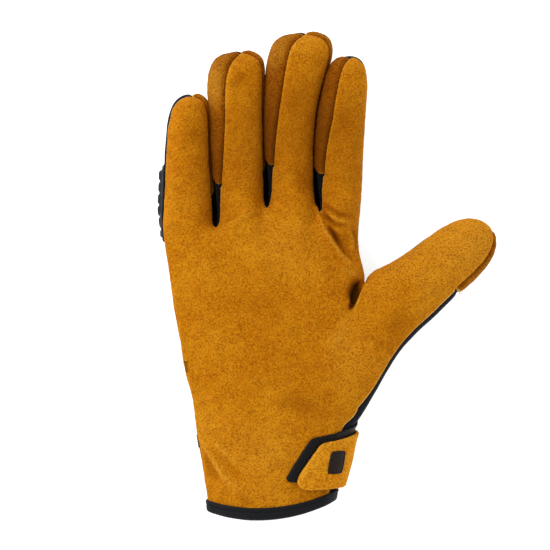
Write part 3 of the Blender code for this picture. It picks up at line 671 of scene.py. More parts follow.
# Each fold runs through points in millimetres. A height below zero is a valley, and start is the share
# of its height that it already has at its first point.
Fold = namedtuple("Fold", "name line width height start")
FOLDS = (
    Fold("thumb crotch tuck", ((52.4, 24.6), (49.4, 18.6), (45.4, 9.5)), 1.2, -3.4, 0.9),
    Fold("thumb crotch shade", ((50.0, 24.5), (46.0, 15.5)), 2.8, -2.0, 0.8),
    Fold("thumb crotch lip", ((55.0, 24.0), (51.9, 17.5), (48.0, 9.0)), 0.9, 1.6, 0.8),
    Fold("thumb crotch pucker", ((41.0, 32.5), (46.5, 29.4), (51.5, 28.8)), 1.6, 1.5, 0.0),
    Fold("thumb crotch dimple", ((42.0, 30.5), (48.5, 28.0)), 1.5, -0.6, 0.2),
    Fold("thumb root roll", ((44.0, 10.0), (40.5, 0.0), (36.5, -12.0)), 4.2, 0.9, 0.0),
    Fold("thumb root hollow", ((36.5, 10.0), (33.0, -4.0)), 6.0, -0.7, 0.0),
    Fold("crotch line ridge", ((28.6, 64.5), (33.9, 51.7), (41.7, 40.0), (50.0, 31.5)), 1.3, 2.0, 0.5),
    Fold("crotch line valley", ((32.0, 63.0), (37.0, 52.0), (44.6, 41.0), (51.0, 34.5)), 1.7, -1.9, 0.4),
    Fold("index fan first", ((33.0, 65.7), (40.8, 60.4), (49.0, 59.2)), 1.2, -2.0, 0.6),
    Fold("index fan first crest", ((33.0, 63.2), (40.2, 58.0), (48.0, 56.8)), 1.2, 1.4, 0.5),
    Fold("index fan second", ((31.8, 61.3), (38.4, 55.4), (45.0, 54.2)), 1.1, -1.9, 0.6),
    Fold("index fan second crest", ((32.5, 58.8), (38.0, 53.0), (43.5, 51.2)), 1.1, 1.2, 0.3),
    Fold("index fan third", ((32.8, 56.5), (38.5, 49.5), (42.0, 44.0)), 1.3, -1.4, 0.4),
    Fold("index edge crease", ((47.0, 55.0), (50.6, 48.0), (50.4, 39.0)), 1.4, -1.6, 0.0),
    Fold("index edge crest", ((44.8, 54.0), (48.2, 47.5), (48.4, 40.0)), 1.2, 1.2, 0.0),
    Fold("index base dent", ((35.0, 46.0), (48.0, 44.5)), 5.0, -0.6, 0.0),
    Fold("middle crotch pull", ((2.4, 63.6), (2.9, 56.5)), 1.3, 0.8, 0.7),
    Fold("ring crotch crease", ((-19.5, 57.6), (-12.0, 61.4)), 1.4, -0.9, 0.4),
    Fold("ring crotch step", ((-21.0, 54.4), (-10.0, 59.6), (0.0, 62.4)), 1.5, 0.6, 0.3),
    Fold("little crotch pull", ((-24.6, 54.8), (-25.4, 48.5)), 1.5, 0.4, 0.7),
    Fold("heel crest", ((-32.2, -56.5), (-25.4, -67.8), (-20.2, -75.8), (-11.0, -85.0)), 1.3, 1.8, 0.5),
    Fold("heel valley", ((-32.6, -62.0), (-27.4, -72.0), (-22.0, -80.0)), 2.2, -1.4, 0.3),
    Fold("upper heel crest", ((-27.0, -56.5), (-17.5, -65.6), (-9.0, -73.0)), 1.6, 1.0, 0.2),
    Fold("upper heel valley", ((-27.0, -61.0), (-16.0, -71.5), (-8.0, -79.0)), 2.0, -0.9, 0.2),
    Fold("hem dimple", ((-12.0, -86.5), (-4.6, -91.0)), 1.6, -0.9, 0.5),
    Fold("wrist hollow", ((8.0, -36.0), (22.3, -39.4), (36.4, -44.0)), 4.5, -1.1, 0.0),
    Fold("strap dimple", ((15.0, -80.0), (20.5, -83.5)), 1.8, -0.5, 0.2),
    Fold("ring finger bend", ((-17.5, 128.5), (-9.5, 132.0), (-3.0, 134.5)), 4.0, -1.1, 0.0),
    Fold("little finger bend", ((-43.0, 99.0), (-29.0, 105.0)), 5.0, -0.7, 0.0),
    Fold("index finger bend", ((33.0, 108.0), (50.0, 112.0)), 6.0, -0.8, 0.0),
    Fold("middle finger bend", ((8.0, 120.0), (27.0, 122.0)), 7.0, -0.5, 0.0),
    Fold("middle finger root dent", ((16.0, 76.0), (27.0, 82.0)), 6.0, -0.6, 0.0),
    Fold("thumb side dent", ((66.0, -4.0), (76.0, 10.0)), 4.0, -0.6, 0.0),
    Fold("thumb pad bend", ((68.0, 30.0), (80.0, 16.0)), 5.0, -0.5, 0.0),
    Fold("palm stretch line", ((-30.0, 20.0), (-6.0, 12.0), (18.0, 16.0)), 6.0, -0.4, 0.0),
)

# The suede is lighter or darker over broad patches, and small patches of painted shade darken the tuck at
# the thumb's crotch. Centres and reach are in millimetres.
Patch = namedtuple("Patch", "name across ahead reach tone")
PATCHES = (
    Patch("little finger", -35.0, 88.0, 20.0, -0.16),
    Patch("ring finger shaft", -12.0, 92.0, 22.0, -0.28),
    Patch("ring finger tip", -9.0, 138.0, 11.0, 0.18),
    Patch("middle finger shaft", 15.0, 108.0, 30.0, -0.42),
    Patch("middle finger tip", 20.0, 151.0, 10.0, 0.22),
    Patch("index finger shaft", 41.0, 95.0, 26.0, -0.36),
    Patch("index finger tip", 44.0, 138.0, 9.0, 0.20),
    Patch("thumb tip", 111.0, 47.0, 20.0, 0.42),
    Patch("thumb shaft", 78.0, 34.0, 24.0, 0.22),
    Patch("thumb lower side", 70.0, 2.0, 15.0, -0.15),
    Patch("thumb root", 48.0, -12.0, 16.0, 0.20),
    Patch("upper palm", 12.0, 46.0, 18.0, 0.16),
    Patch("lower palm", 8.0, -20.0, 26.0, -0.12),
    Patch("palm under ring finger", -18.0, 40.0, 14.0, -0.06),
    Patch("heel", -2.0, -66.0, 22.0, 0.16),
    Patch("heel edge", -30.0, -52.0, 10.0, 0.14),
    Patch("thumb crotch upper shade", 50.4, 22.8, 2.9, -1.3),
    Patch("thumb crotch shade", 49.2, 18.4, 2.2, -1.1),
    Patch("thumb crotch lower shade", 46.8, 13.2, 1.5, -0.9),
    Patch("thumb crotch soft shade", 46.0, 21.0, 5.0, -0.45),
)

# Painted shade and light on the side walls: darker where neighbouring fingers shade them, lighter near the
# tips and on the thumb strip.
WALL_PAINTED_LIGHT_AND_SHADE = (
    Patch("ring wall tip", -24.0, 128.0, 16.0, 0.30),
    Patch("ring wall root", -20.0, 84.0, 22.0, -0.35),
    Patch("middle wall", 5.0, 100.0, 36.0, -0.55),
    Patch("middle wall tip", 8.0, 146.0, 12.0, 0.20),
    Patch("index wall", 30.0, 95.0, 32.0, -0.50),
    Patch("little inner tip", -25.0, 124.0, 14.0, 0.30),
    Patch("ring inner tip", 0.0, 140.0, 14.0, 0.30),
    Patch("middle inner tip", 32.0, 150.0, 16.0, 0.30),
    Patch("thumb strip", 115.0, 32.0, 22.0, 0.25),
)

Border = namedtuple("Border", "edges neighbours")
Cut = namedtuple("Cut", "points normals quads border used")


def cut_panel(skin, chosen):
    """The part of the skin in the chosen panels, and its border edges with the panel across each."""
    own = skin.quads[np.isin(skin.panels, list(chosen))]
    used, local = np.unique(own, return_inverse=True)
    local = local.reshape(own.shape)
    count = len(skin.points)
    ahead = np.roll(skin.quads, -1, axis=1)
    keys = (np.minimum(skin.quads, ahead) * count + np.maximum(skin.quads, ahead)).ravel()
    owners = np.repeat(skin.panels, 4)
    inside = np.isin(owners, list(chosen))
    own_keys, first_seen, times = np.unique(keys[inside], return_index=True, return_counts=True)
    border_keys = own_keys[times == 1]
    starts = own.ravel()[first_seen[times == 1]]
    ends = np.roll(own, -1, axis=1).ravel()[first_seen[times == 1]]
    across = dict(zip(keys[~inside].tolist(), owners[~inside].tolist()))
    neighbours = np.array([across.get(key, OPEN_HEM) for key in border_keys.tolist()])
    place = np.zeros(count, int)
    place[used] = np.arange(len(used))
    edges = np.stack([place[starts], place[ends]], axis=1)
    return Cut(skin.points[used], skin.normals[used], local, Border(edges, neighbours), used)


def distance_to(points, targets, furthest):
    """The distance from each point to the nearest target, at most the furthest."""
    if not len(targets):
        return np.full(len(points), furthest)
    tree = kdtree.KDTree(len(targets))
    for number, target in enumerate(targets.tolist()):
        tree.insert(target, number)
    tree.balance()
    return np.array([min(furthest, tree.find(point)[2]) for point in points.tolist()])


def border_distance(cut, wanted_panels):
    """How far each point is from the border with these panels."""
    chosen = np.isin(cut.border.neighbours, list(wanted_panels))
    targets = cut.points[np.unique(cut.border.edges[chosen])]
    return distance_to(cut.points, targets, FURTHEST)


def lumps(points, size, octaves=3):
    """Smooth noise from -1 to 1 with features of this size."""
    return np.array([noise.fractal(Vector(point) / size, 1.0, 2.0, octaves) for point in points.tolist()])


def smooth_dip(distance, reach):
    return np.exp(-((distance / reach) ** 2))


def fold_height(points, facing, fold):
    """The height that a fold adds at each point of the palm side."""
    line = np.array(fold.line) * MM
    lengths = np.linalg.norm(np.diff(line, axis=0), axis=1)
    nearest = np.full(len(points), np.inf)
    travelled = np.zeros(len(points))
    for number, (start, end) in enumerate(zip(line[:-1], line[1:])):
        share = ((points[:, :2] - start) @ (end - start) / lengths[number] ** 2).clip(0, 1)
        gap = np.linalg.norm(points[:, :2] - start - share[:, None] * (end - start), axis=1)
        closer = gap < nearest
        nearest[closer] = gap[closer]
        travelled[closer] = (lengths[:number].sum() + share * lengths[number])[closer]
    place = travelled / lengths.sum()
    swell = np.sin(np.pi * place)
    rise = np.where(place < 0.5, fold.start + (1 - fold.start) * swell, swell).clip(0, 1)
    return fold.height * MM * smooth_dip(nearest, fold.width * MM) * rise * (facing > PALM_FACING)


def patch_tone(points, patches):
    """How much lighter or darker the patches make the suede at each point."""
    tone = np.zeros(len(points))
    for patch in patches:
        away = np.hypot(points[:, 0] - patch.across * MM, points[:, 1] - patch.ahead * MM)
        tone += patch.tone * smooth_dip(away, patch.reach * MM)
    return tone


def set_wear_and_shading(mesh, wear_and_shading):
    """Stores the suede's wear and its painted shade and light at each point of both faces of a wall."""
    mesh.attributes.new("wear_and_shading", "FLOAT", "POINT")
    mesh.attributes["wear_and_shading"].data.foreach_set("value", np.concatenate([wear_and_shading, wear_and_shading]).astype(np.float32))


def wall_mesh(name, cut, outer, inner, materials, wear_and_shading=None):
    """A closed wall between two sets of points over one panel, with the lining as its second material."""
    count = len(outer)
    starts, ends = cut.border.edges[:, 0], cut.border.edges[:, 1]
    rim = np.stack([ends, starts, starts + count, ends + count], axis=1)
    faces = np.concatenate([cut.quads, cut.quads[:, ::-1] + count, rim])
    mesh = bpy.data.meshes.new(name)
    mesh.from_pydata(np.concatenate([outer, inner]).tolist(), [], faces.tolist())
    for finish in materials:
        mesh.materials.append(finish)
    lined = np.zeros(len(faces), int)
    lined[len(cut.quads) : 2 * len(cut.quads)] = len(materials) - 1
    mesh.polygons.foreach_set("material_index", lined)
    set_wear_and_shading(mesh, np.zeros(count) if wear_and_shading is None else wear_and_shading)
    mesh.shade_smooth()
    mesh.update()
    return mesh


def plain_mesh(thing, **settings):
    """The plain mesh of an object with its modifiers applied."""
    graph = bpy.context.evaluated_depsgraph_get()
    return bpy.data.meshes.new_from_object(thing.evaluated_get(graph), depsgraph=graph, **settings)


def thin_out(piece, distances, share):
    """Lowers the number of faces on the hidden side of a wall, away from its edges."""
    group = piece.vertex_groups.new(name="hidden")
    hidden = np.nonzero(distances > HOLLOW_MARGIN)[0] + len(distances)
    group.add(hidden.tolist(), 1.0, "REPLACE")
    fewer = piece.modifiers.new("Fewer", "DECIMATE")
    fewer.vertex_group = "hidden"
    fewer.ratio = share
    mesh = plain_mesh(piece, preserve_all_data_layers=True)
    piece.modifiers.clear()
    piece.vertex_groups.clear()
    piece.data = mesh


def add_object(name, mesh, *nodes, finish_slot):
    """The finished piece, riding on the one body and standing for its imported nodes."""
    piece = linked(name, mesh)
    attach(piece, "root")
    if nodes:
        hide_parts(*nodes)
    return piece


# Pale nap of worn and cut edges, also used as painted light.
PALE_NAP_AND_PAINTED_LIGHT = "F2AE34"
TUCKED_SHADE = "2E1500"
CUT_FIBRES = "F0CE90"
SUEDE_SHEEN = "F0B050"
CLOUD_SIZE = 0.026
BLOTCH_SIZE = 0.0052
GRAIN_SIZE = 0.0013
PORE_SIZE = 0.00085
FLEECE_TIPS = "4A4A4E"
TUFT_SIZE = 0.0012


def suede(name, middle, light, deep, coarseness):
    """Split suede: a matt napped leather. The nap lies in clouds and has dark pores and pale fibre tips."""
    made, tree = new_material(name)
    place = object_place(tree)
    clouds = noise_at(tree, place, CLOUD_SIZE, 4.0, 0.6)
    blotches = noise_at(tree, place, BLOTCH_SIZE, 4.0, 0.65)
    grain = noise_at(tree, place, GRAIN_SIZE * coarseness, 3.0, 0.7)
    pores = noise_at(tree, place, PORE_SIZE * coarseness, 3.0)
    worn_and_shaded = add_node(tree, "ShaderNodeAttribute", attribute_name="wear_and_shading").outputs["Fac"]
    colour = linear(middle)
    # The stored value lightens the suede towards pale nap where it is worn and as painted light. It darkens
    # the suede where patches are darker, and as painted shade in fold valleys, beside seams and between
    # fingers. TUCKED_SHADE is painted shade in the deepest tuck.
    for value, start, stop, most, other in (
        (clouds, 0.38, 0.66, 0.65, light),
        (blotches, 0.38, 0.68, 0.48, deep),
        (grain, 0.42, 0.66, 0.75, light),
        (worn_and_shaded, 0.0, 1.0, 0.8, PALE_NAP_AND_PAINTED_LIGHT),
        (worn_and_shaded, 0.0, -1.0, 0.75, deep),
        (pores, 0.48, 0.64, 0.66, deep),
        (worn_and_shaded, -0.9, -1.9, 0.85, TUCKED_SHADE),
        (worn_and_shaded, 1.0, 1.7, 0.85, CUT_FIBRES),
    ):
        colour = blend(tree, share_of(tree, value, start, stop, most), colour, linear(other))
    rough = bump(tree, grain, 0.75, 0.0006 * coarseness)
    look = {
        "Base Color": colour,
        "Roughness": 0.95,
        "Specular IOR Level": 0.04,
        "Sheen Weight": 0.06,
        "Sheen Roughness": 0.5,
        "Sheen Tint": linear(SUEDE_SHEEN),
        "Normal": bump(tree, pores, 0.6, 0.0003, under=rough),
    }
    finish_material(tree, look)
    return made


def fleece(name, hex_colour):
    """Brushed fleece lining: a soft dark knit with a raised nap of about a millimetre."""
    made, tree = new_material(name)
    tufts = noise_at(tree, object_place(tree), TUFT_SIZE, 3.0)
    look = {
        "Base Color": blend(tree, tufts, linear(hex_colour), linear(FLEECE_TIPS)),
        "Roughness": 0.95,
        "Sheen Weight": 0.4,
        "Normal": bump(tree, tufts, 0.8, 0.0006),
    }
    finish_material(tree, look)
    return made


tan_suede = suede("split_pigskin_suede", "C87608", "E09618", "8A4400", 1.0)
lining = fleece("brushed_fleece_lining", "26262A")
SUEDE_SEAMS = (*range(WALLS, GUSSETS), THUMB_STRIP)
CLOTH = (BACK, GUARDED)
SLOTS = range(GUSSETS, GUSSETS + 3)


def nap_height(points):
    """The lumps and pebbling that every suede panel has."""
    height = LUMP_HEIGHT * lumps(points, LUMP_SIZE, 2)
    height += PEBBLE_HEIGHT * lumps(points, PEBBLE_SIZE, 2)
    return height + NAP_HEIGHT * lumps(points, NAP_SIZE, 1)


palm = cut_panel(fine_skin, {PALM})
to_suede = border_distance(palm, SUEDE_SEAMS)
to_cloth = border_distance(palm, CLOTH)
to_slot = border_distance(palm, SLOTS)
heights = nap_height(palm.points)
heights -= SEAM_DROP * smooth_dip(to_suede, SEAM_REACH)
heights -= CUT_DROP * smooth_dip(to_cloth, CUT_REACH)
heights -= SLOT_DROP * smooth_dip(to_slot, SLOT_REACH)
# Pale nap beside the seams and at the cut edges, the tone patches with painted shade in the thumb's tuck,
# lighter fold crests, and painted shade in the fold valleys.
palm_wear_and_shading = SEAM_WEAR * smooth_dip(to_suede - SEAM_REACH, SEAM_REACH / 2)
palm_wear_and_shading += EDGE_WEAR * smooth_dip(to_cloth, CUT_REACH) + EDGE_WEAR * smooth_dip(to_slot, SLOT_REACH)
palm_wear_and_shading += patch_tone(palm.points, PATCHES)
for fold in FOLDS:
    added = fold_height(palm.points, palm.normals[:, 2], fold)
    heights += added
    palm_wear_and_shading += added / MM * (CREST_TONE if fold.height > 0 else VALLEY_PAINTED_SHADE)
under_strap = (palm.points[:, 0] > STRAP_LEFT) & (palm.points[:, 1] < STRAP_TOP)
heights[under_strap] = np.minimum(heights[under_strap], FLAT_UNDER_STRAP)
palm_outer = palm.points + palm.normals * heights[:, None]
palm_inner = palm.points + palm.normals * (np.minimum(heights, 0.0) - WALL)[:, None]
palm_wear_and_shading = palm_wear_and_shading.clip(-MOST_WEAR_AND_SHADING, MOST_WEAR_AND_SHADING)
palm_mesh = wall_mesh("palm_suede", palm, palm_outer, palm_inner, (tan_suede, lining), palm_wear_and_shading)
palm_piece = add_object("palm_suede", palm_mesh, "palm_panel", finish_slot="tan_suede")
thin_out(palm_piece, np.minimum(np.minimum(to_suede, to_cloth), to_slot), HOLLOW_SHARE)


# Side walls and thumb strip
# Strips of the same suede make the sides of the fingers, and one closes the end of the thumb. Each is
# sewn to the palm panel with the edges turned in, and to the cloth back with its own edge cut.
# The walls' suede is painted darker than the palm's, as shade on walls that face into the gaps between
# fingers.
side_suede = suede("shaded_side_wall_suede", "934C04", "B56C10", "5A2A00", 1.0)
WALL_NODES = (
    "side_wall_little_inner",
    "side_wall_ring_inner",
    "side_wall_middle_inner",
    "side_wall_ring_outer",
    "side_wall_middle_outer",
    "side_wall_index_outer",
)
BULGE = 0.0009
BULGE_REACH = 0.003
SEAM_SHADE = 0.4
side_panels = dict(enumerate(WALL_NODES, WALLS))
side_panels[THUMB_STRIP] = "thumb_side_strip"
for panel, node in side_panels.items():
    cut = cut_panel(fine_skin, {panel})
    to_suede = border_distance(cut, {PALM})
    to_cloth = border_distance(cut, CLOTH)
    to_slot = border_distance(cut, SLOTS)
    to_cut = np.minimum(to_cloth, to_slot)
    heights = nap_height(cut.points) + BULGE * (np.minimum(to_suede, to_cut) / BULGE_REACH).clip(0, 1)
    heights -= SEAM_DROP * smooth_dip(to_suede, SEAM_REACH)
    heights -= CUT_DROP * smooth_dip(to_cut, CUT_REACH)
    # Pale nap at the cut edges, painted shade beside the seam, and the walls' painted shade and light.
    side_wear_and_shading = EDGE_WEAR * smooth_dip(to_cut, CUT_REACH)
    side_wear_and_shading -= SEAM_SHADE * smooth_dip(to_suede, SEAM_REACH)
    side_wear_and_shading += patch_tone(cut.points, WALL_PAINTED_LIGHT_AND_SHADE)
    outer = cut.points + cut.normals * heights[:, None]
    inner = cut.points - cut.normals * WALL
    mesh = wall_mesh(node + "_suede", cut, outer, inner, (side_suede, lining), side_wear_and_shading)
    piece = add_object(node + "_suede", mesh, node, finish_slot="side_suede")


# Cloth back
# A matt black stretch cloth covers the back of the hand and folds round the lower edge of the thumb.
# It is sewn under the suede, and is flattened where the glove lies on it.
CLOTH_DROP = 0.0012
CLOTH_REACH = 0.0020
CLOTH_LUMP_SIZE = 0.022
CLOTH_LUMP = 0.0004
KNIT_PITCH = 0.0007
CLOTH_CLOUD_SIZE = 0.012
GUARD_CLEARANCE = 0.006


def stretch_cloth(name, hex_colour, light_hex):
    """Closely knitted stretch cloth with loops about 0.7 mm apart."""
    made, tree = new_material(name)
    place = object_place(tree)
    clouds = noise_at(tree, place, CLOTH_CLOUD_SIZE, 4.0)
    look = {
        "Base Color": blend(tree, clouds, linear(hex_colour), linear(light_hex)),
        "Roughness": 0.85,
        "Specular IOR Level": 0.1,
        "Sheen Weight": 0.04,
        "Sheen Roughness": 0.4,
        "Normal": bump(tree, cells_at(tree, place, KNIT_PITCH), 0.7, 0.0003, invert=True),
    }
    finish_material(tree, look)
    return made


def lifted(points, normals, heights):
    """The points moved along their normals, and kept off the floor."""
    moved = points + normals * np.reshape(heights, (-1, 1))
    moved[:, 2] = np.maximum(moved[:, 2], 0.0)
    return moved


black_cloth = stretch_cloth("black_stretch_cloth", "0E0F12", "20242F")
back = cut_panel(coarse_skin, CLOTH)
to_suede = border_distance(back, (PALM, *SUEDE_SEAMS))
guard_area = coarse_skin.points[np.unique(coarse_skin.quads[coarse_skin.panels == GUARDED])]
off_guard = distance_to(back.points, guard_area, FURTHEST)
heights = CLOTH_LUMP * lumps(back.points, CLOTH_LUMP_SIZE) * (off_guard / GUARD_CLEARANCE).clip(0, 1)
heights -= CLOTH_DROP * smooth_dip(to_suede, CLOTH_REACH)
back_outer = lifted(back.points, back.normals, heights)
back_inner = back.points - back.normals * WALL
back_mesh = wall_mesh("back_cloth", back, back_outer, back_inner, (black_cloth, lining))
back_piece = add_object("back_cloth", back_mesh, "back_panel", finish_slot="black_fabric")


# Crotch gussets
# A narrow piece of the same cloth fills each slot between two fingers, set back behind the suede.
GUSSET_DROP = 0.0006
# The slot cloth is a darker copy of the back cloth: painted shade in the slots.
shaded_slot_cloth = stretch_cloth("shaded_slot_stretch_cloth", "060607", "0E0E10")
SLOT_NAMES = ("little_ring", "ring_middle", "middle_index")
for number, slot_name in enumerate(SLOT_NAMES):
    node = "crotch_gusset_" + slot_name
    cut = cut_panel(fine_skin, {GUSSETS + number})
    outer = lifted(cut.points, cut.normals, np.full(len(cut.points), -GUSSET_DROP))
    inner = cut.points - cut.normals * (GUSSET_WALL + GUSSET_DROP)
    mesh = wall_mesh(node + "_cloth", cut, outer, inner, (shaded_slot_cloth,))
    add_object(node + "_cloth", mesh, node, finish_slot="black_fabric")


# Slot shade sheets
# A narrow black sheet of the slot cloth is set deep between the walls of each two fingers, as painted shade
# that hides the floor in the gap.
SHADE_SHEET_LEVEL = 0.0120
SHADE_SHEET_RISING = 0.0030
SHADE_SHEET_HALF = 0.0044
SHADE_SHEET_THICKNESS = 0.0010
SHADE_SHEET_SAG = 0.0012
SHADE_SHEET_BEHIND = 0.003
SHADE_SHEET_ROWS = 24
SHADE_SHEET_COLUMNS = 8
SHADE_SHEET_LENGTHS = (0.054, 0.034, 0.028)


def turned_out(name, points, faces, material):
    """A smooth closed mesh with its faces pointing outwards."""
    mesh = bpy.data.meshes.new(name)
    mesh.from_pydata(np.asarray(points).tolist(), [], np.asarray(faces).tolist())
    face_outwards(mesh)
    mesh.materials.append(material)
    mesh.shade_smooth()
    return mesh


def closed_sheet(columns, lines):
    """Faces of a closed sheet: a grid of points, the same grid below it, and the rim between them."""
    numbers = np.arange((columns + 1) * (lines + 1)).reshape(columns + 1, lines + 1)
    rim = np.concatenate([numbers[:, 0], numbers[-1, 1:], numbers[-2::-1, -1], numbers[0, -2:0:-1]])
    top = [numbers[:-1, :-1], numbers[1:, :-1], numbers[1:, 1:], numbers[:-1, 1:]]
    top = np.stack(top, axis=-1).reshape(-1, 4)
    after = np.roll(rim, -1)
    sides = np.stack([rim, after, after + numbers.size, rim + numbers.size], axis=1)
    return np.concatenate([top, top[:, ::-1] + numbers.size, sides]), top, rim


for edge, slot_name, length in zip(EDGES[1:4], SLOT_NAMES, SHADE_SHEET_LENGTHS):
    shade_sheet = []
    for step in range(SHADE_SHEET_ROWS + 1):
        ahead = step / SHADE_SHEET_ROWS
        level = along(edge.along) - SHADE_SHEET_BEHIND + ahead * length
        half_width = SHADE_SHEET_HALF * (1 - ahead * ahead / 2)
        for column in range(SHADE_SHEET_COLUMNS + 1):
            side = 2 * column / SHADE_SHEET_COLUMNS - 1
            rise = SHADE_SHEET_LEVEL + SHADE_SHEET_RISING * ahead - SHADE_SHEET_SAG * (1 - side * side)
            shade_sheet.append((edge_line(edge, level) + side * half_width, level, rise))
    shade_sheet = np.array(shade_sheet)
    points = np.concatenate([shade_sheet, shade_sheet - [0, 0, SHADE_SHEET_THICKNESS]])
    name = "slot_shade_sheet_" + slot_name
    shade_sheet_mesh = turned_out(name, points, closed_sheet(SHADE_SHEET_ROWS, SHADE_SHEET_COLUMNS)[0], shaded_slot_cloth)
    add_object(name, shade_sheet_mesh, finish_slot="black_fabric")


# Knuckle guard
# A moulded guard of satin slate rubber, welded to the cloth over the knuckles and round the outer side
# of the little finger. It has a thin flange, and its raised field is cut by grooves across the hand.
FLANGE_HEIGHT = 0.0008
FLANGE_WIDTH = 0.0022
RAISED_STEP = 0.0009
GROOVE_PITCH = 0.0062
GROOVE_START = 0.0787
GROOVE_WIDTH = 0.0008
GROOVE_DEPTH = 0.0010
GROOVE_MARGIN = 0.0016
FLANGE_LIP = 0.35
LIP_WIDTH = 0.0006
RUBBER_GRAIN_SIZE = 0.0005


def smooth_step(values, start, width):
    share = ((values - start) / width).clip(0, 1)
    return share * share * (3 - 2 * share)


def moulded_rubber(name, hex_colour, roughness, shine):
    """Injection-moulded rubber with a fine even grain."""
    made, tree = new_material(name)
    grain = noise_at(tree, object_place(tree), RUBBER_GRAIN_SIZE, 2.0)
    look = {
        "Base Color": linear(hex_colour),
        "Roughness": roughness,
        "Specular IOR Level": shine,
        "Normal": bump(tree, grain, 0.25, 0.0001),
    }
    finish_material(tree, look)
    return made


guard = cut_panel(fine_skin, {GUARDED})
edge_distance = distance_to(guard.points, guard.points[np.unique(guard.border.edges)], FURTHEST)
raised = smooth_step(edge_distance, FLANGE_WIDTH, RAISED_STEP)
off_groove = (guard.points[:, 1] - GROOVE_START + GROOVE_PITCH / 2) % GROOVE_PITCH - GROOVE_PITCH / 2
groove = smooth_dip(off_groove, GROOVE_WIDTH) * smooth_step(edge_distance, FLANGE_WIDTH, GROOVE_MARGIN)
flange = FLANGE_LIP + (1 - FLANGE_LIP) * smooth_step(edge_distance, 0.0, LIP_WIDTH)
heights = REST_GAP + FLANGE_HEIGHT * flange
heights += (GUARD_THICKNESS - FLANGE_HEIGHT) * raised - GROOVE_DEPTH * groove
guard_outer = lifted(guard.points, guard.normals, heights)
guard_inner = guard.points + guard.normals * REST_GAP
slate = moulded_rubber("slate_moulded_rubber", "181B20", 0.5, 0.25)
guard_mesh = wall_mesh("guard_rubber", guard, guard_outer, guard_inner, (slate,))
add_object("guard_rubber", guard_mesh, "knuckle_guard", finish_slot="slate_rubber")


# Cuff binding
# Black ribbed tape about 10 mm wide is folded in half over the hem and sewn through near its edges.
BINDING_THICKNESS = 0.0010
BINDING_STEPS = 2 ** FINE_LEVEL
BINDING_ROWS = (16, 15, 14, 13, 11, 9, 7, 5, 3, 1)
BINDING_ROUND = 0.35
ROUND_STEPS = 6
RIB_PITCH = 0.0010
RIB_HEIGHT = 0.00016
RIB_SAMPLES = 5
STITCH_ROW = 13
STITCH_PRESS = 0.3
TAPE_THREAD_SIZE = 0.0004


def ribbed_tape(name, hex_colour):
    """Woven black tape with a slight lustre."""
    made, tree = new_material(name)
    threads = noise_at(tree, object_place(tree), TAPE_THREAD_SIZE, 2.0)
    look = {
        "Base Color": linear(hex_colour),
        "Roughness": 0.7,
        "Specular IOR Level": 0.15,
        "Sheen Weight": 0.04,
        "Normal": bump(tree, threads, 0.5, 0.0002),
    }
    finish_material(tree, look)
    return made


def hem_rows(skin, steps):
    """Rows of point numbers in from the open hem, each row in the same order round the wrist."""
    found = {}
    by_point = {}
    for quad in skin.quads[np.isin(skin.panels, (PALM, BACK))].tolist():
        for here, there in zip(quad, quad[1:] + quad[:1]):
            found.setdefault((min(here, there), max(here, there)), []).append((here, there))
            by_point.setdefault(here, []).append(quad)
    following = {}
    low = skin.points[:, 1].min() + BINDING_HEIGHT * 3
    for (here, there), ways in found.items():
        if len(ways) == 1 and skin.points[here, 1] < low and skin.points[there, 1] < low:
            following[ways[0][0]] = ways[0][1]
    row = [min(following)]
    while following[row[-1]] != row[0]:
        row.append(following[row[-1]])
    rows = [row]
    done = set(row)
    for _ in range(steps):
        after = {}
        for here, there in zip(rows[-1], rows[-1][1:] + rows[-1][:1]):
            for quad in by_point[here]:
                if there in quad and not done.issuperset(quad):
                    start = quad.index(here)
                    before = quad[start - 1]
                    after[here] = quad[(start + 1) % 4] if before == there else before
        rows.append([after[here] for here in rows[-1]])
        done.update(rows[-1])
    return np.array(rows)


def closed_resample(values, count):
    """A closed row of points drawn again with this many points, by straight steps."""
    spots = np.arange(count) * len(values) / count
    wrapped = np.concatenate([values, values[:1]])
    steps = np.arange(len(wrapped))
    return np.stack([np.interp(spots, steps, wrapped[:, axis]) for axis in range(3)], axis=1)


hem = hem_rows(fine_skin, BINDING_STEPS)
hem_points = fine_skin.points[hem]
perimeter = np.linalg.norm(hem_points[0] - np.roll(hem_points[0], 1, axis=0), axis=1).sum()
ribs = round(perimeter / RIB_PITCH)
around = ribs * RIB_SAMPLES
rib_wave = 0.5 + 0.5 * np.cos(2 * np.pi * np.arange(around) / RIB_SAMPLES)
binding_rings = []
hem_place = closed_resample(hem_points[0], around)
hem_normal = closed_resample(fine_skin.normals[hem[0]], around)
hem_out = hem_place - closed_resample(hem_points[2], around)
hem_out -= hem_normal * (hem_out * hem_normal).sum(axis=1)[:, None]
hem_out /= np.linalg.norm(hem_out, axis=1)[:, None]


def leg_ring(row, height):
    """One ring of the tape: a row of the skin, at this height off it."""
    place = closed_resample(hem_points[row], around)
    facing = closed_resample(fine_skin.normals[hem[row]], around)
    return place + facing * np.reshape(height, (-1, 1))


def edge_share(row):
    """How full the tape is at this row: less at its edge, and a little less under its stitches."""
    return 1 - BINDING_ROUND * (row == BINDING_STEPS) - STITCH_PRESS * (row == STITCH_ROW)


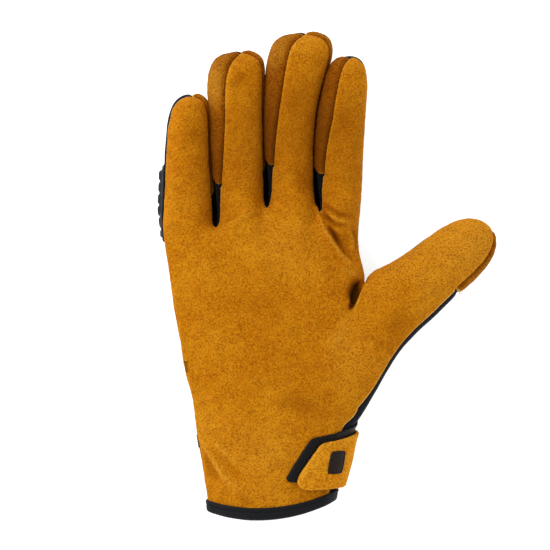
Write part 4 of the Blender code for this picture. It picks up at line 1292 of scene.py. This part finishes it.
outer_lift = REST_GAP + BINDING_THICKNESS
inner_lift = -WALL - REST_GAP - BINDING_THICKNESS
for row in BINDING_ROWS:
    ribbed = RIB_HEIGHT * rib_wave * (row not in (BINDING_STEPS, STITCH_ROW))
    binding_rings.append(leg_ring(row, REST_GAP + BINDING_THICKNESS * edge_share(row) + ribbed))
bend_middle = (outer_lift + inner_lift) / 2
bend_radius = (outer_lift - inner_lift) / 2
for step in range(1, ROUND_STEPS):
    turn = math.pi * step / ROUND_STEPS
    reach = REST_GAP + BINDING_THICKNESS + RIB_HEIGHT * rib_wave
    ring = hem_place + hem_normal * (bend_middle + bend_radius * math.cos(turn))
    binding_rings.append(ring + hem_out * np.reshape(reach * math.sin(turn), (-1, 1)))
for row in reversed(BINDING_ROWS):
    ribbed = RIB_HEIGHT * rib_wave * (row not in (BINDING_STEPS, STITCH_ROW))
    binding_rings.append(leg_ring(row, -WALL - REST_GAP - BINDING_THICKNESS * edge_share(row) - ribbed))
binding_rings.append(leg_ring(BINDING_STEPS, np.full(around, -WALL - REST_GAP)))
binding_rings.append(hem_place + hem_normal * (-WALL - REST_GAP) + hem_out * REST_GAP)
binding_rings.append(hem_place + hem_normal * REST_GAP + hem_out * REST_GAP)
binding_rings.append(leg_ring(BINDING_STEPS, np.full(around, REST_GAP)))
binding_points = np.concatenate(binding_rings)
binding_points[:, 2] = np.maximum(binding_points[:, 2], 0.0)
numbers = np.arange(len(binding_points)).reshape(len(binding_rings), around)
next_ring = np.roll(numbers, -1, axis=0)
corners = [numbers, np.roll(numbers, -1, axis=1), np.roll(next_ring, -1, axis=1), next_ring]
binding_faces = np.stack(corners, axis=-1).reshape(-1, 4)
tape = ribbed_tape("black_ribbed_tape", "16171A")
binding_mesh = turned_out("binding_tape", binding_points, binding_faces, tape)
add_object("binding_tape", binding_mesh, "cuff_binding", finish_slot="black_tape")


# Strap hook pad
# A black hook fastener pad is sewn to the palm side of the wrist under the strap's end, and shows as a
# band along the strap's left and upper edges. Its hooks stand about 0.9 mm apart.
LAYER_GAP = 0.0005
PAD_THICKNESS = 0.0014
PAD_BACKING = 0.0009
STRAP_THICKNESS = 0.0020
CORNER_TURN = 50
RAY_START = 2
HOOK_PITCH = 0.0009
HOOK_WIDTH = 0.0003
HOOK_HEIGHT = 0.0009
HOOK_SIDES = 5
HOOK_DENSITY = 3.0e6
HOOK_SEED = 7
BAND_LUMP_SIZE = 0.0045
BAND_NAP_SIZE = 0.0012
BAND_NAP = 0.6
RAG_SIZE = 0.0016
RAG_REACH = 0.0006
RAW_WEAR = 0.7
RAW_REACH = 0.0007
Wrap = namedtuple(
    "Wrap",
    "start_top start_bottom stop top_start top_stop bottom_start bottom_stop round_top round_bottom",
)
STRAP = Wrap(35.5, 13.5, 120, 0.224, 0.262, 0.068, 0.072, 0.10, 0.34)
PAD = Wrap(27.5, 8.5, 112, 0.240, 0.292, 0.094, 0.094, 0.08, 0.14)
Grid = namedtuple("Grid", "columns lines edge_round edge_share ragged lump")
skin_tree = BVHTree.FromPolygons(coarse_skin.points.tolist(), coarse_skin.quads.tolist())


def wrist_frame(level):
    """Centre and half sizes of the wrist's section at this height, from the palm rows."""
    rows = (THUMB_ROWS[-1], *WRIST_ROWS)
    shares = np.array([along(row.along_left) for row in rows])
    order = np.argsort(shares)
    sizes = np.array([(row.left, row.right, row.mid, row.front) for row in rows])[order]
    left, right, mid, front = [np.interp(level, shares[order], sizes[:, column]) for column in range(4)]
    centre = Vector(((left + right) / 2 * PALM_WIDTH, level, mid * PALM_DEPTH))
    return centre, (right - left) / 2 * PALM_WIDTH, front * PALM_DEPTH


def on_wrist(turn, level, lift):
    """The point that lies this far off the skin at this turn about the wrist."""
    centre, half_width, half_depth = wrist_frame(level)
    side, up = rounded(turn, FRONT_POWER)
    outward = Vector((side * half_width, 0, up * half_depth))
    spot = skin_tree.ray_cast(centre + outward * RAY_START, -outward.normalized())[0]
    return spot + Vector((side / half_width, 0, up / half_depth)).normalized() * lift


def wrap_outline(wrap, share_round, share_down):
    """Turn and height on a wrap: share_round runs from its free end, share_down from top to bottom."""
    start = wrap.start_top + (wrap.start_bottom - wrap.start_top) * share_down
    top = wrap.top_start + (wrap.top_stop - wrap.top_start) * share_round
    bottom = wrap.bottom_start + (wrap.bottom_stop - wrap.bottom_start) * share_round
    bend = wrap.round_top if share_down < 0.5 else wrap.round_bottom
    corner = max(0.0, abs(2 * share_down - 1) - (1 - 2 * bend)) / (2 * bend)
    start += (1 - math.sqrt(max(0.0, 1 - corner**2))) * bend * CORNER_TURN * (1 - share_round)
    turn = start + (wrap.stop - start) * share_round
    return turn, along(top + (bottom - top) * share_down)


def band(name, outline, grid, lift, thickness, material, emboss=None):
    """A closed band laid on the wrist, with its upper edge rounded over."""
    low_points = []
    rises = []
    round_shares = np.linspace(0, 1, grid.columns + 1).tolist()
    down_shares = np.linspace(0, 1, grid.lines + 1).tolist()
    spots = [(round_share, down_share) for round_share in round_shares for down_share in down_shares]
    for share_round, share_down in spots:
        turn, level = outline(share_round, share_down)
        low_points.append(on_wrist(turn, level, lift))
        rises.append(on_wrist(turn, level, lift + thickness) - low_points[-1])
    low_points = np.array([tuple(point) for point in low_points])
    rises = np.array([tuple(rise) for rise in rises])
    faces, top, rim = closed_sheet(grid.columns, grid.lines)
    inset = distance_to(low_points, low_points[rim], FURTHEST)
    bend = 1 - (1 - (inset / grid.edge_round).clip(0, 1)) ** 2
    fullness = grid.edge_share + (1 - grid.edge_share) * np.sqrt(bend)
    if grid.lump:
        nap = BAND_NAP * lumps(low_points, BAND_NAP_SIZE, 2)
        fullness += grid.lump * (lumps(low_points, BAND_LUMP_SIZE) + nap) * np.sqrt(bend)
    if emboss:
        fullness += emboss(inset)
    ragged = grid.ragged * lumps(low_points, RAG_SIZE) * smooth_dip(inset, RAG_REACH)
    sideways = low_points - low_points.mean(axis=0)
    sideways /= np.maximum(np.linalg.norm(sideways, axis=1), 1e-9)[:, None]
    low_points += sideways * ragged[:, None]
    points = np.concatenate([low_points + rises * fullness[:, None], low_points])
    mesh = turned_out(name, points, faces, material)
    set_wear_and_shading(mesh, RAW_WEAR * smooth_dip(inset, RAW_REACH))
    return mesh, points[: len(spots)], top


def node_tool(name, **inputs):
    """A geometry node group with a geometry input and output, and named number inputs."""
    group = bpy.data.node_groups.new(name, "GeometryNodeTree")
    group.interface.new_socket("Geometry", in_out="INPUT", socket_type="NodeSocketGeometry")
    for label, value in inputs.items():
        socket = group.interface.new_socket(label, in_out="INPUT", socket_type="NodeSocketFloat")
        socket.default_value = value
    group.interface.new_socket("Geometry", in_out="OUTPUT", socket_type="NodeSocketGeometry")
    return group, add_node(group, "NodeGroupInput").outputs


def place_copies(tree, inputs, material):
    """Ends a node group: copies of a shape on points, made real and given their material."""
    placed = add_node(tree, "GeometryNodeInstanceOnPoints", inputs)
    real = add_node(tree, "GeometryNodeRealizeInstances", {"Geometry": placed.outputs["Instances"]})
    inputs = {"Geometry": real.outputs["Geometry"], "Material": material}
    painted = add_node(tree, "GeometryNodeSetMaterial", inputs)
    add_node(tree, "NodeGroupOutput", {"Geometry": painted.outputs["Geometry"]})


def baked(name, source, group=None):
    """The plain mesh of a source, or of what a geometry node group makes from it."""
    holder = linked(name + "_source", source)
    if group:
        holder.modifiers.new("Repeat", "NODES").node_group = group
    mesh = plain_mesh(holder)
    bpy.data.objects.remove(holder, do_unlink=True)
    mesh.name = name
    mesh.shade_smooth()
    return mesh


black_hook = moulded_rubber("black_hook_nylon", "070707", 0.5, 0.22)
pad_grid = Grid(columns=96, lines=36, edge_round=0.0008, edge_share=0.5, ragged=0.0004, lump=0.0)
pad_outline = partial(wrap_outline, PAD)
pad_mesh, pad_top, pad_quads = band("hook_pad", pad_outline, pad_grid, LAYER_GAP, PAD_BACKING, black_hook)
hook_tree, hook_in = node_tool("hooks", Pitch=HOOK_PITCH, Width=HOOK_WIDTH, Height=HOOK_HEIGHT)
spread = {
    "Mesh": hook_in["Geometry"],
    "Distance Min": hook_in["Pitch"],
    "Density Max": HOOK_DENSITY,
    "Seed": HOOK_SEED,
}
spread = add_node(hook_tree, "GeometryNodeDistributePointsOnFaces", spread, distribute_method="POISSON")
cone = {
    "Vertices": HOOK_SIDES,
    "Radius Top": HOOK_WIDTH / 3,
    "Radius Bottom": hook_in["Width"],
    "Depth": hook_in["Height"],
}
cone = add_node(hook_tree, "GeometryNodeMeshCone", cone)
hooks = {
    "Points": spread.outputs["Points"],
    "Instance": cone.outputs["Mesh"],
    "Rotation": spread.outputs["Rotation"],
}
place_copies(hook_tree, hooks, black_hook)
top_only = bpy.data.meshes.new("pad_top")
top_only.from_pydata(pad_top.tolist(), [], pad_quads.tolist())
add_object("hook_pad", pad_mesh, "strap_hook_pad", finish_slot="black_hook")
add_object("hook_pad_hooks", baked("hook_pad_hooks", top_only, hook_tree), finish_slot="black_hook")


# Wrist strap
# The free end of the wrist strap is a thick tab of the same suede with its rough side out and its edges
# cut raw. It comes round from the back of the wrist and is pressed down on the hook pad.
STRAP_LIFT = LAYER_GAP * 2 + PAD_THICKNESS
strap_suede = suede("rough_strap_suede", "E28C0E", "F2AC28", "A05404", 1.2)
strap_grid = Grid(columns=150, lines=80, edge_round=0.0008, edge_share=0.5, ragged=0.00025, lump=0.05)
strap_outline = partial(wrap_outline, STRAP)
strap_mesh, _, _ = band("strap_suede", strap_outline, strap_grid, STRAP_LIFT, STRAP_THICKNESS, strap_suede)
add_object("strap_suede", strap_mesh, "wrist_strap", finish_slot="strap_suede")


# Strap patch
# A small dark brown patch is stuck on the strap. It is left blank, with a pressed line inside its edge.
LABEL_THICKNESS = 0.0007
LABEL_WIDTH = 0.0090
LABEL_HEIGHT = 0.0122
LABEL_AROUND = 53
LABEL_ALONG = 0.157
LABEL_ROUND = 0.08
PRESSED_INSET = 0.0011
PRESSED_WIDTH = 0.00022
PRESSED_SHARE = 0.5
LEATHER_GRAIN_SIZE = 0.0006
LEATHER_CLOUD_SIZE = 0.003


def label_outline(share_round, share_down):
    """Turn and height on the patch, a small upright rectangle with eased corners."""
    side = 2 * share_round - 1
    down = 2 * share_down - 1
    ease = 1 - LABEL_ROUND * (side * down) ** 2
    _, half_width, half_depth = wrist_frame(along(LABEL_ALONG))
    turn = LABEL_AROUND + math.degrees(side * ease * LABEL_WIDTH / (half_width + half_depth))
    return turn, along(LABEL_ALONG) - down * ease * LABEL_HEIGHT / 2


def pressed_line(inset):
    return -PRESSED_SHARE * smooth_dip(inset - PRESSED_INSET, PRESSED_WIDTH)


def smooth_leather(name, hex_colour, light_hex):
    """Smooth finished leather with a low grain and a dull polish."""
    made, tree = new_material(name)
    place = object_place(tree)
    clouds = noise_at(tree, place, LEATHER_CLOUD_SIZE, 3.0)
    look = {
        "Base Color": blend(tree, clouds, linear(hex_colour), linear(light_hex)),
        "Roughness": 0.55,
        "Specular IOR Level": 0.2,
        "Normal": bump(tree, cells_at(tree, place, LEATHER_GRAIN_SIZE), 0.3, 0.0001),
    }
    finish_material(tree, look)
    return made


patch_leather = smooth_leather("dark_brown_patch", "1A0F07", "26180C")
patch_lift = STRAP_LIFT + STRAP_THICKNESS
patch_grid = Grid(columns=44, lines=60, edge_round=0.0005, edge_share=0.4, ragged=0.0, lump=0.0)
patch_mesh, _, _ = band(
    "patch_leather", label_outline, patch_grid, patch_lift, LABEL_THICKNESS, patch_leather, pressed_line
)
add_object("patch_leather", patch_mesh, "strap_label", finish_slot="brown_patch")


# Stitching
# Lockstitch in spun thread: brown in the turned seams of the suede, black along both edges of the tape.
# Each stitch is a short rounded run of thread between two holes.
Stitch = namedtuple("Stitch", "pitch length width")
SEAM_STITCH = Stitch(0.0028, 0.0021, 0.00040)
TAPE_STITCH = Stitch(0.0026, 0.0020, 0.00050)
STITCH_SIDES = 6
STITCH_LIFT = 0.0001
STITCH_RINGS = 5
TAPE_STITCH_SHARE = 0.85


def spun_thread(name, hex_colour):
    """Spun sewing thread, matt."""
    made, tree = new_material(name)
    finish_material(tree, {"Base Color": linear(hex_colour), "Roughness": 0.8, "Specular IOR Level": 0.1})
    return made


def stitch_tool(name, material, stitch):
    """A node group that lays stitches along the edges of a mesh."""
    tree, given = node_tool(name, Pitch=stitch.pitch, Length=stitch.length, Width=stitch.width)
    curve = add_node(tree, "GeometryNodeMeshToCurve", {"Mesh": given["Geometry"]})
    spaced = {"Curve": curve.outputs["Curve"], "Length": given["Pitch"]}
    spaced = add_node(tree, "GeometryNodeResampleCurve", spaced, mode="LENGTH")
    tangent = add_node(tree, "GeometryNodeInputTangent").outputs["Tangent"]
    turned = add_node(tree, "FunctionNodeAlignRotationToVector", {"Vector": tangent}, axis="X")
    ball = {"Segments": STITCH_SIDES, "Rings": STITCH_RINGS, "Radius": 0.5}
    ball = add_node(tree, "GeometryNodeMeshUVSphere", ball)
    size = {"X": given["Length"], "Y": given["Width"], "Z": given["Width"]}
    size = add_node(tree, "ShaderNodeCombineXYZ", size)
    stitches = {
        "Points": spaced.outputs["Curve"],
        "Instance": ball.outputs["Mesh"],
        "Rotation": turned.outputs["Rotation"],
        "Scale": size.outputs["Vector"],
    }
    place_copies(tree, stitches, material)
    return tree


def add_stitches(name, points, edges, tool, finish_slot):
    """Stitches along these edges as one piece."""
    path = bpy.data.meshes.new(name + "_path")
    path.from_pydata(points.tolist(), edges.tolist(), [])
    return add_object(name, baked(name, path, tool), finish_slot=finish_slot)


brown_tool = stitch_tool("brown_stitches", spun_thread("brown_thread", "4A2404"), SEAM_STITCH)
black_tool = stitch_tool("black_stitches", spun_thread("black_thread", "1B1C20"), TAPE_STITCH)
seam_edges = palm.border.edges[np.isin(palm.border.neighbours, SUEDE_SEAMS)]
seam_points = palm_outer + palm.normals * STITCH_LIFT
add_stitches("palm_seam_stitches", seam_points, seam_edges, brown_tool, "tan_suede")
tape_row = leg_ring(STITCH_ROW, np.full(around, REST_GAP + BINDING_THICKNESS * TAPE_STITCH_SHARE))
tape_under = leg_ring(STITCH_ROW, np.full(around, -WALL - REST_GAP - BINDING_THICKNESS * TAPE_STITCH_SHARE))
tape_row[:, 2] = np.maximum(tape_row[:, 2], TAPE_STITCH.width / 2)
ring_numbers = np.arange(around)
ring_edges = np.stack([ring_numbers, np.roll(ring_numbers, -1)], axis=1)
add_stitches("tape_stitches", tape_row, ring_edges, black_tool, "black_tape")
add_stitches("tape_inner_stitches", tape_under, ring_edges, black_tool, "black_tape")


# Tacks and loose threads
# Two short black bar tacks hold the suede to the cloth at the outer side of the wrist, and a few ends of
# pale thread stand out of the seam where the thumb strip ends.
Tack = namedtuple("Tack", "top bottom turns reach")
TACKS = (Tack(-0.0165, -0.0222, 7, 0.0006), Tack(-0.0556, -0.0617, 4, 0.0011))
TACK_LEVEL = 0.0258
TACK_LIFT = 0.0001
TACK_THREAD = 0.00038
FRAY_START = (0.1040, 0.0205, 0.0190)
FRAY_ENDS = (
    (2.6, -0.4, 1.2),
    (1.8, -1.6, 0.4),
    (0.4, -1.8, 1.4),
    (-1.4, -1.0, 1.8),
    (3.4, 0.8, 0.6),
    (-2.6, -0.2, 1.2),
)
FRAY_STEPS = 5
FRAY_THREAD = 0.00012
FRAY_SAG = 0.0005


def thread_tubes(name, strands, radius, material):
    """Round thread laid through each row of points, as one closed mesh."""
    curve = bpy.data.curves.new(name, "CURVE")
    curve.dimensions = "3D"
    curve.bevel_depth = radius
    curve.bevel_resolution = 1
    curve.use_fill_caps = True
    for strand in strands:
        spline = curve.splines.new("POLY")
        spline.points.add(len(strand) - 1)
        for point, place in zip(spline.points, strand):
            point.co = (*place, 1.0)
    mesh = baked(name, curve)
    mesh.materials.clear()
    mesh.materials.append(material)
    return mesh


strands = []
for tack in TACKS:
    strand = []
    for turn in range(2 * tack.turns + 1):
        level = tack.top + (tack.bottom - tack.top) * turn / (2 * tack.turns)
        height = TACK_LEVEL + tack.reach * (1 if turn % 2 else -1)
        spot = skin_tree.ray_cast(Vector((-PALM_WIDTH, level, height)), Vector((1, 0, 0)))[0]
        strand.append((spot.x - TACK_LIFT, spot.y, spot.z + TACK_LIFT))
    strands.append(strand)
tack_mesh = thread_tubes("bar_tacks", strands, TACK_THREAD, spun_thread("black_tack_thread", "0E0E10"))
add_object("bar_tacks", tack_mesh, finish_slot="black_tape")
strands = []
for end in FRAY_ENDS:
    strand = []
    for step in range(FRAY_STEPS + 1):
        ahead = step / FRAY_STEPS
        bow = FRAY_SAG * math.sin(math.pi * ahead)
        strand.append([start + far * MM * ahead + bow for start, far in zip(FRAY_START, end)])
    strands.append(strand)
fray_mesh = thread_tubes("frayed_threads", strands, FRAY_THREAD, spun_thread("pale_thread", "C98A2C"))
add_object("frayed_threads", fray_mesh, finish_slot="side_suede")
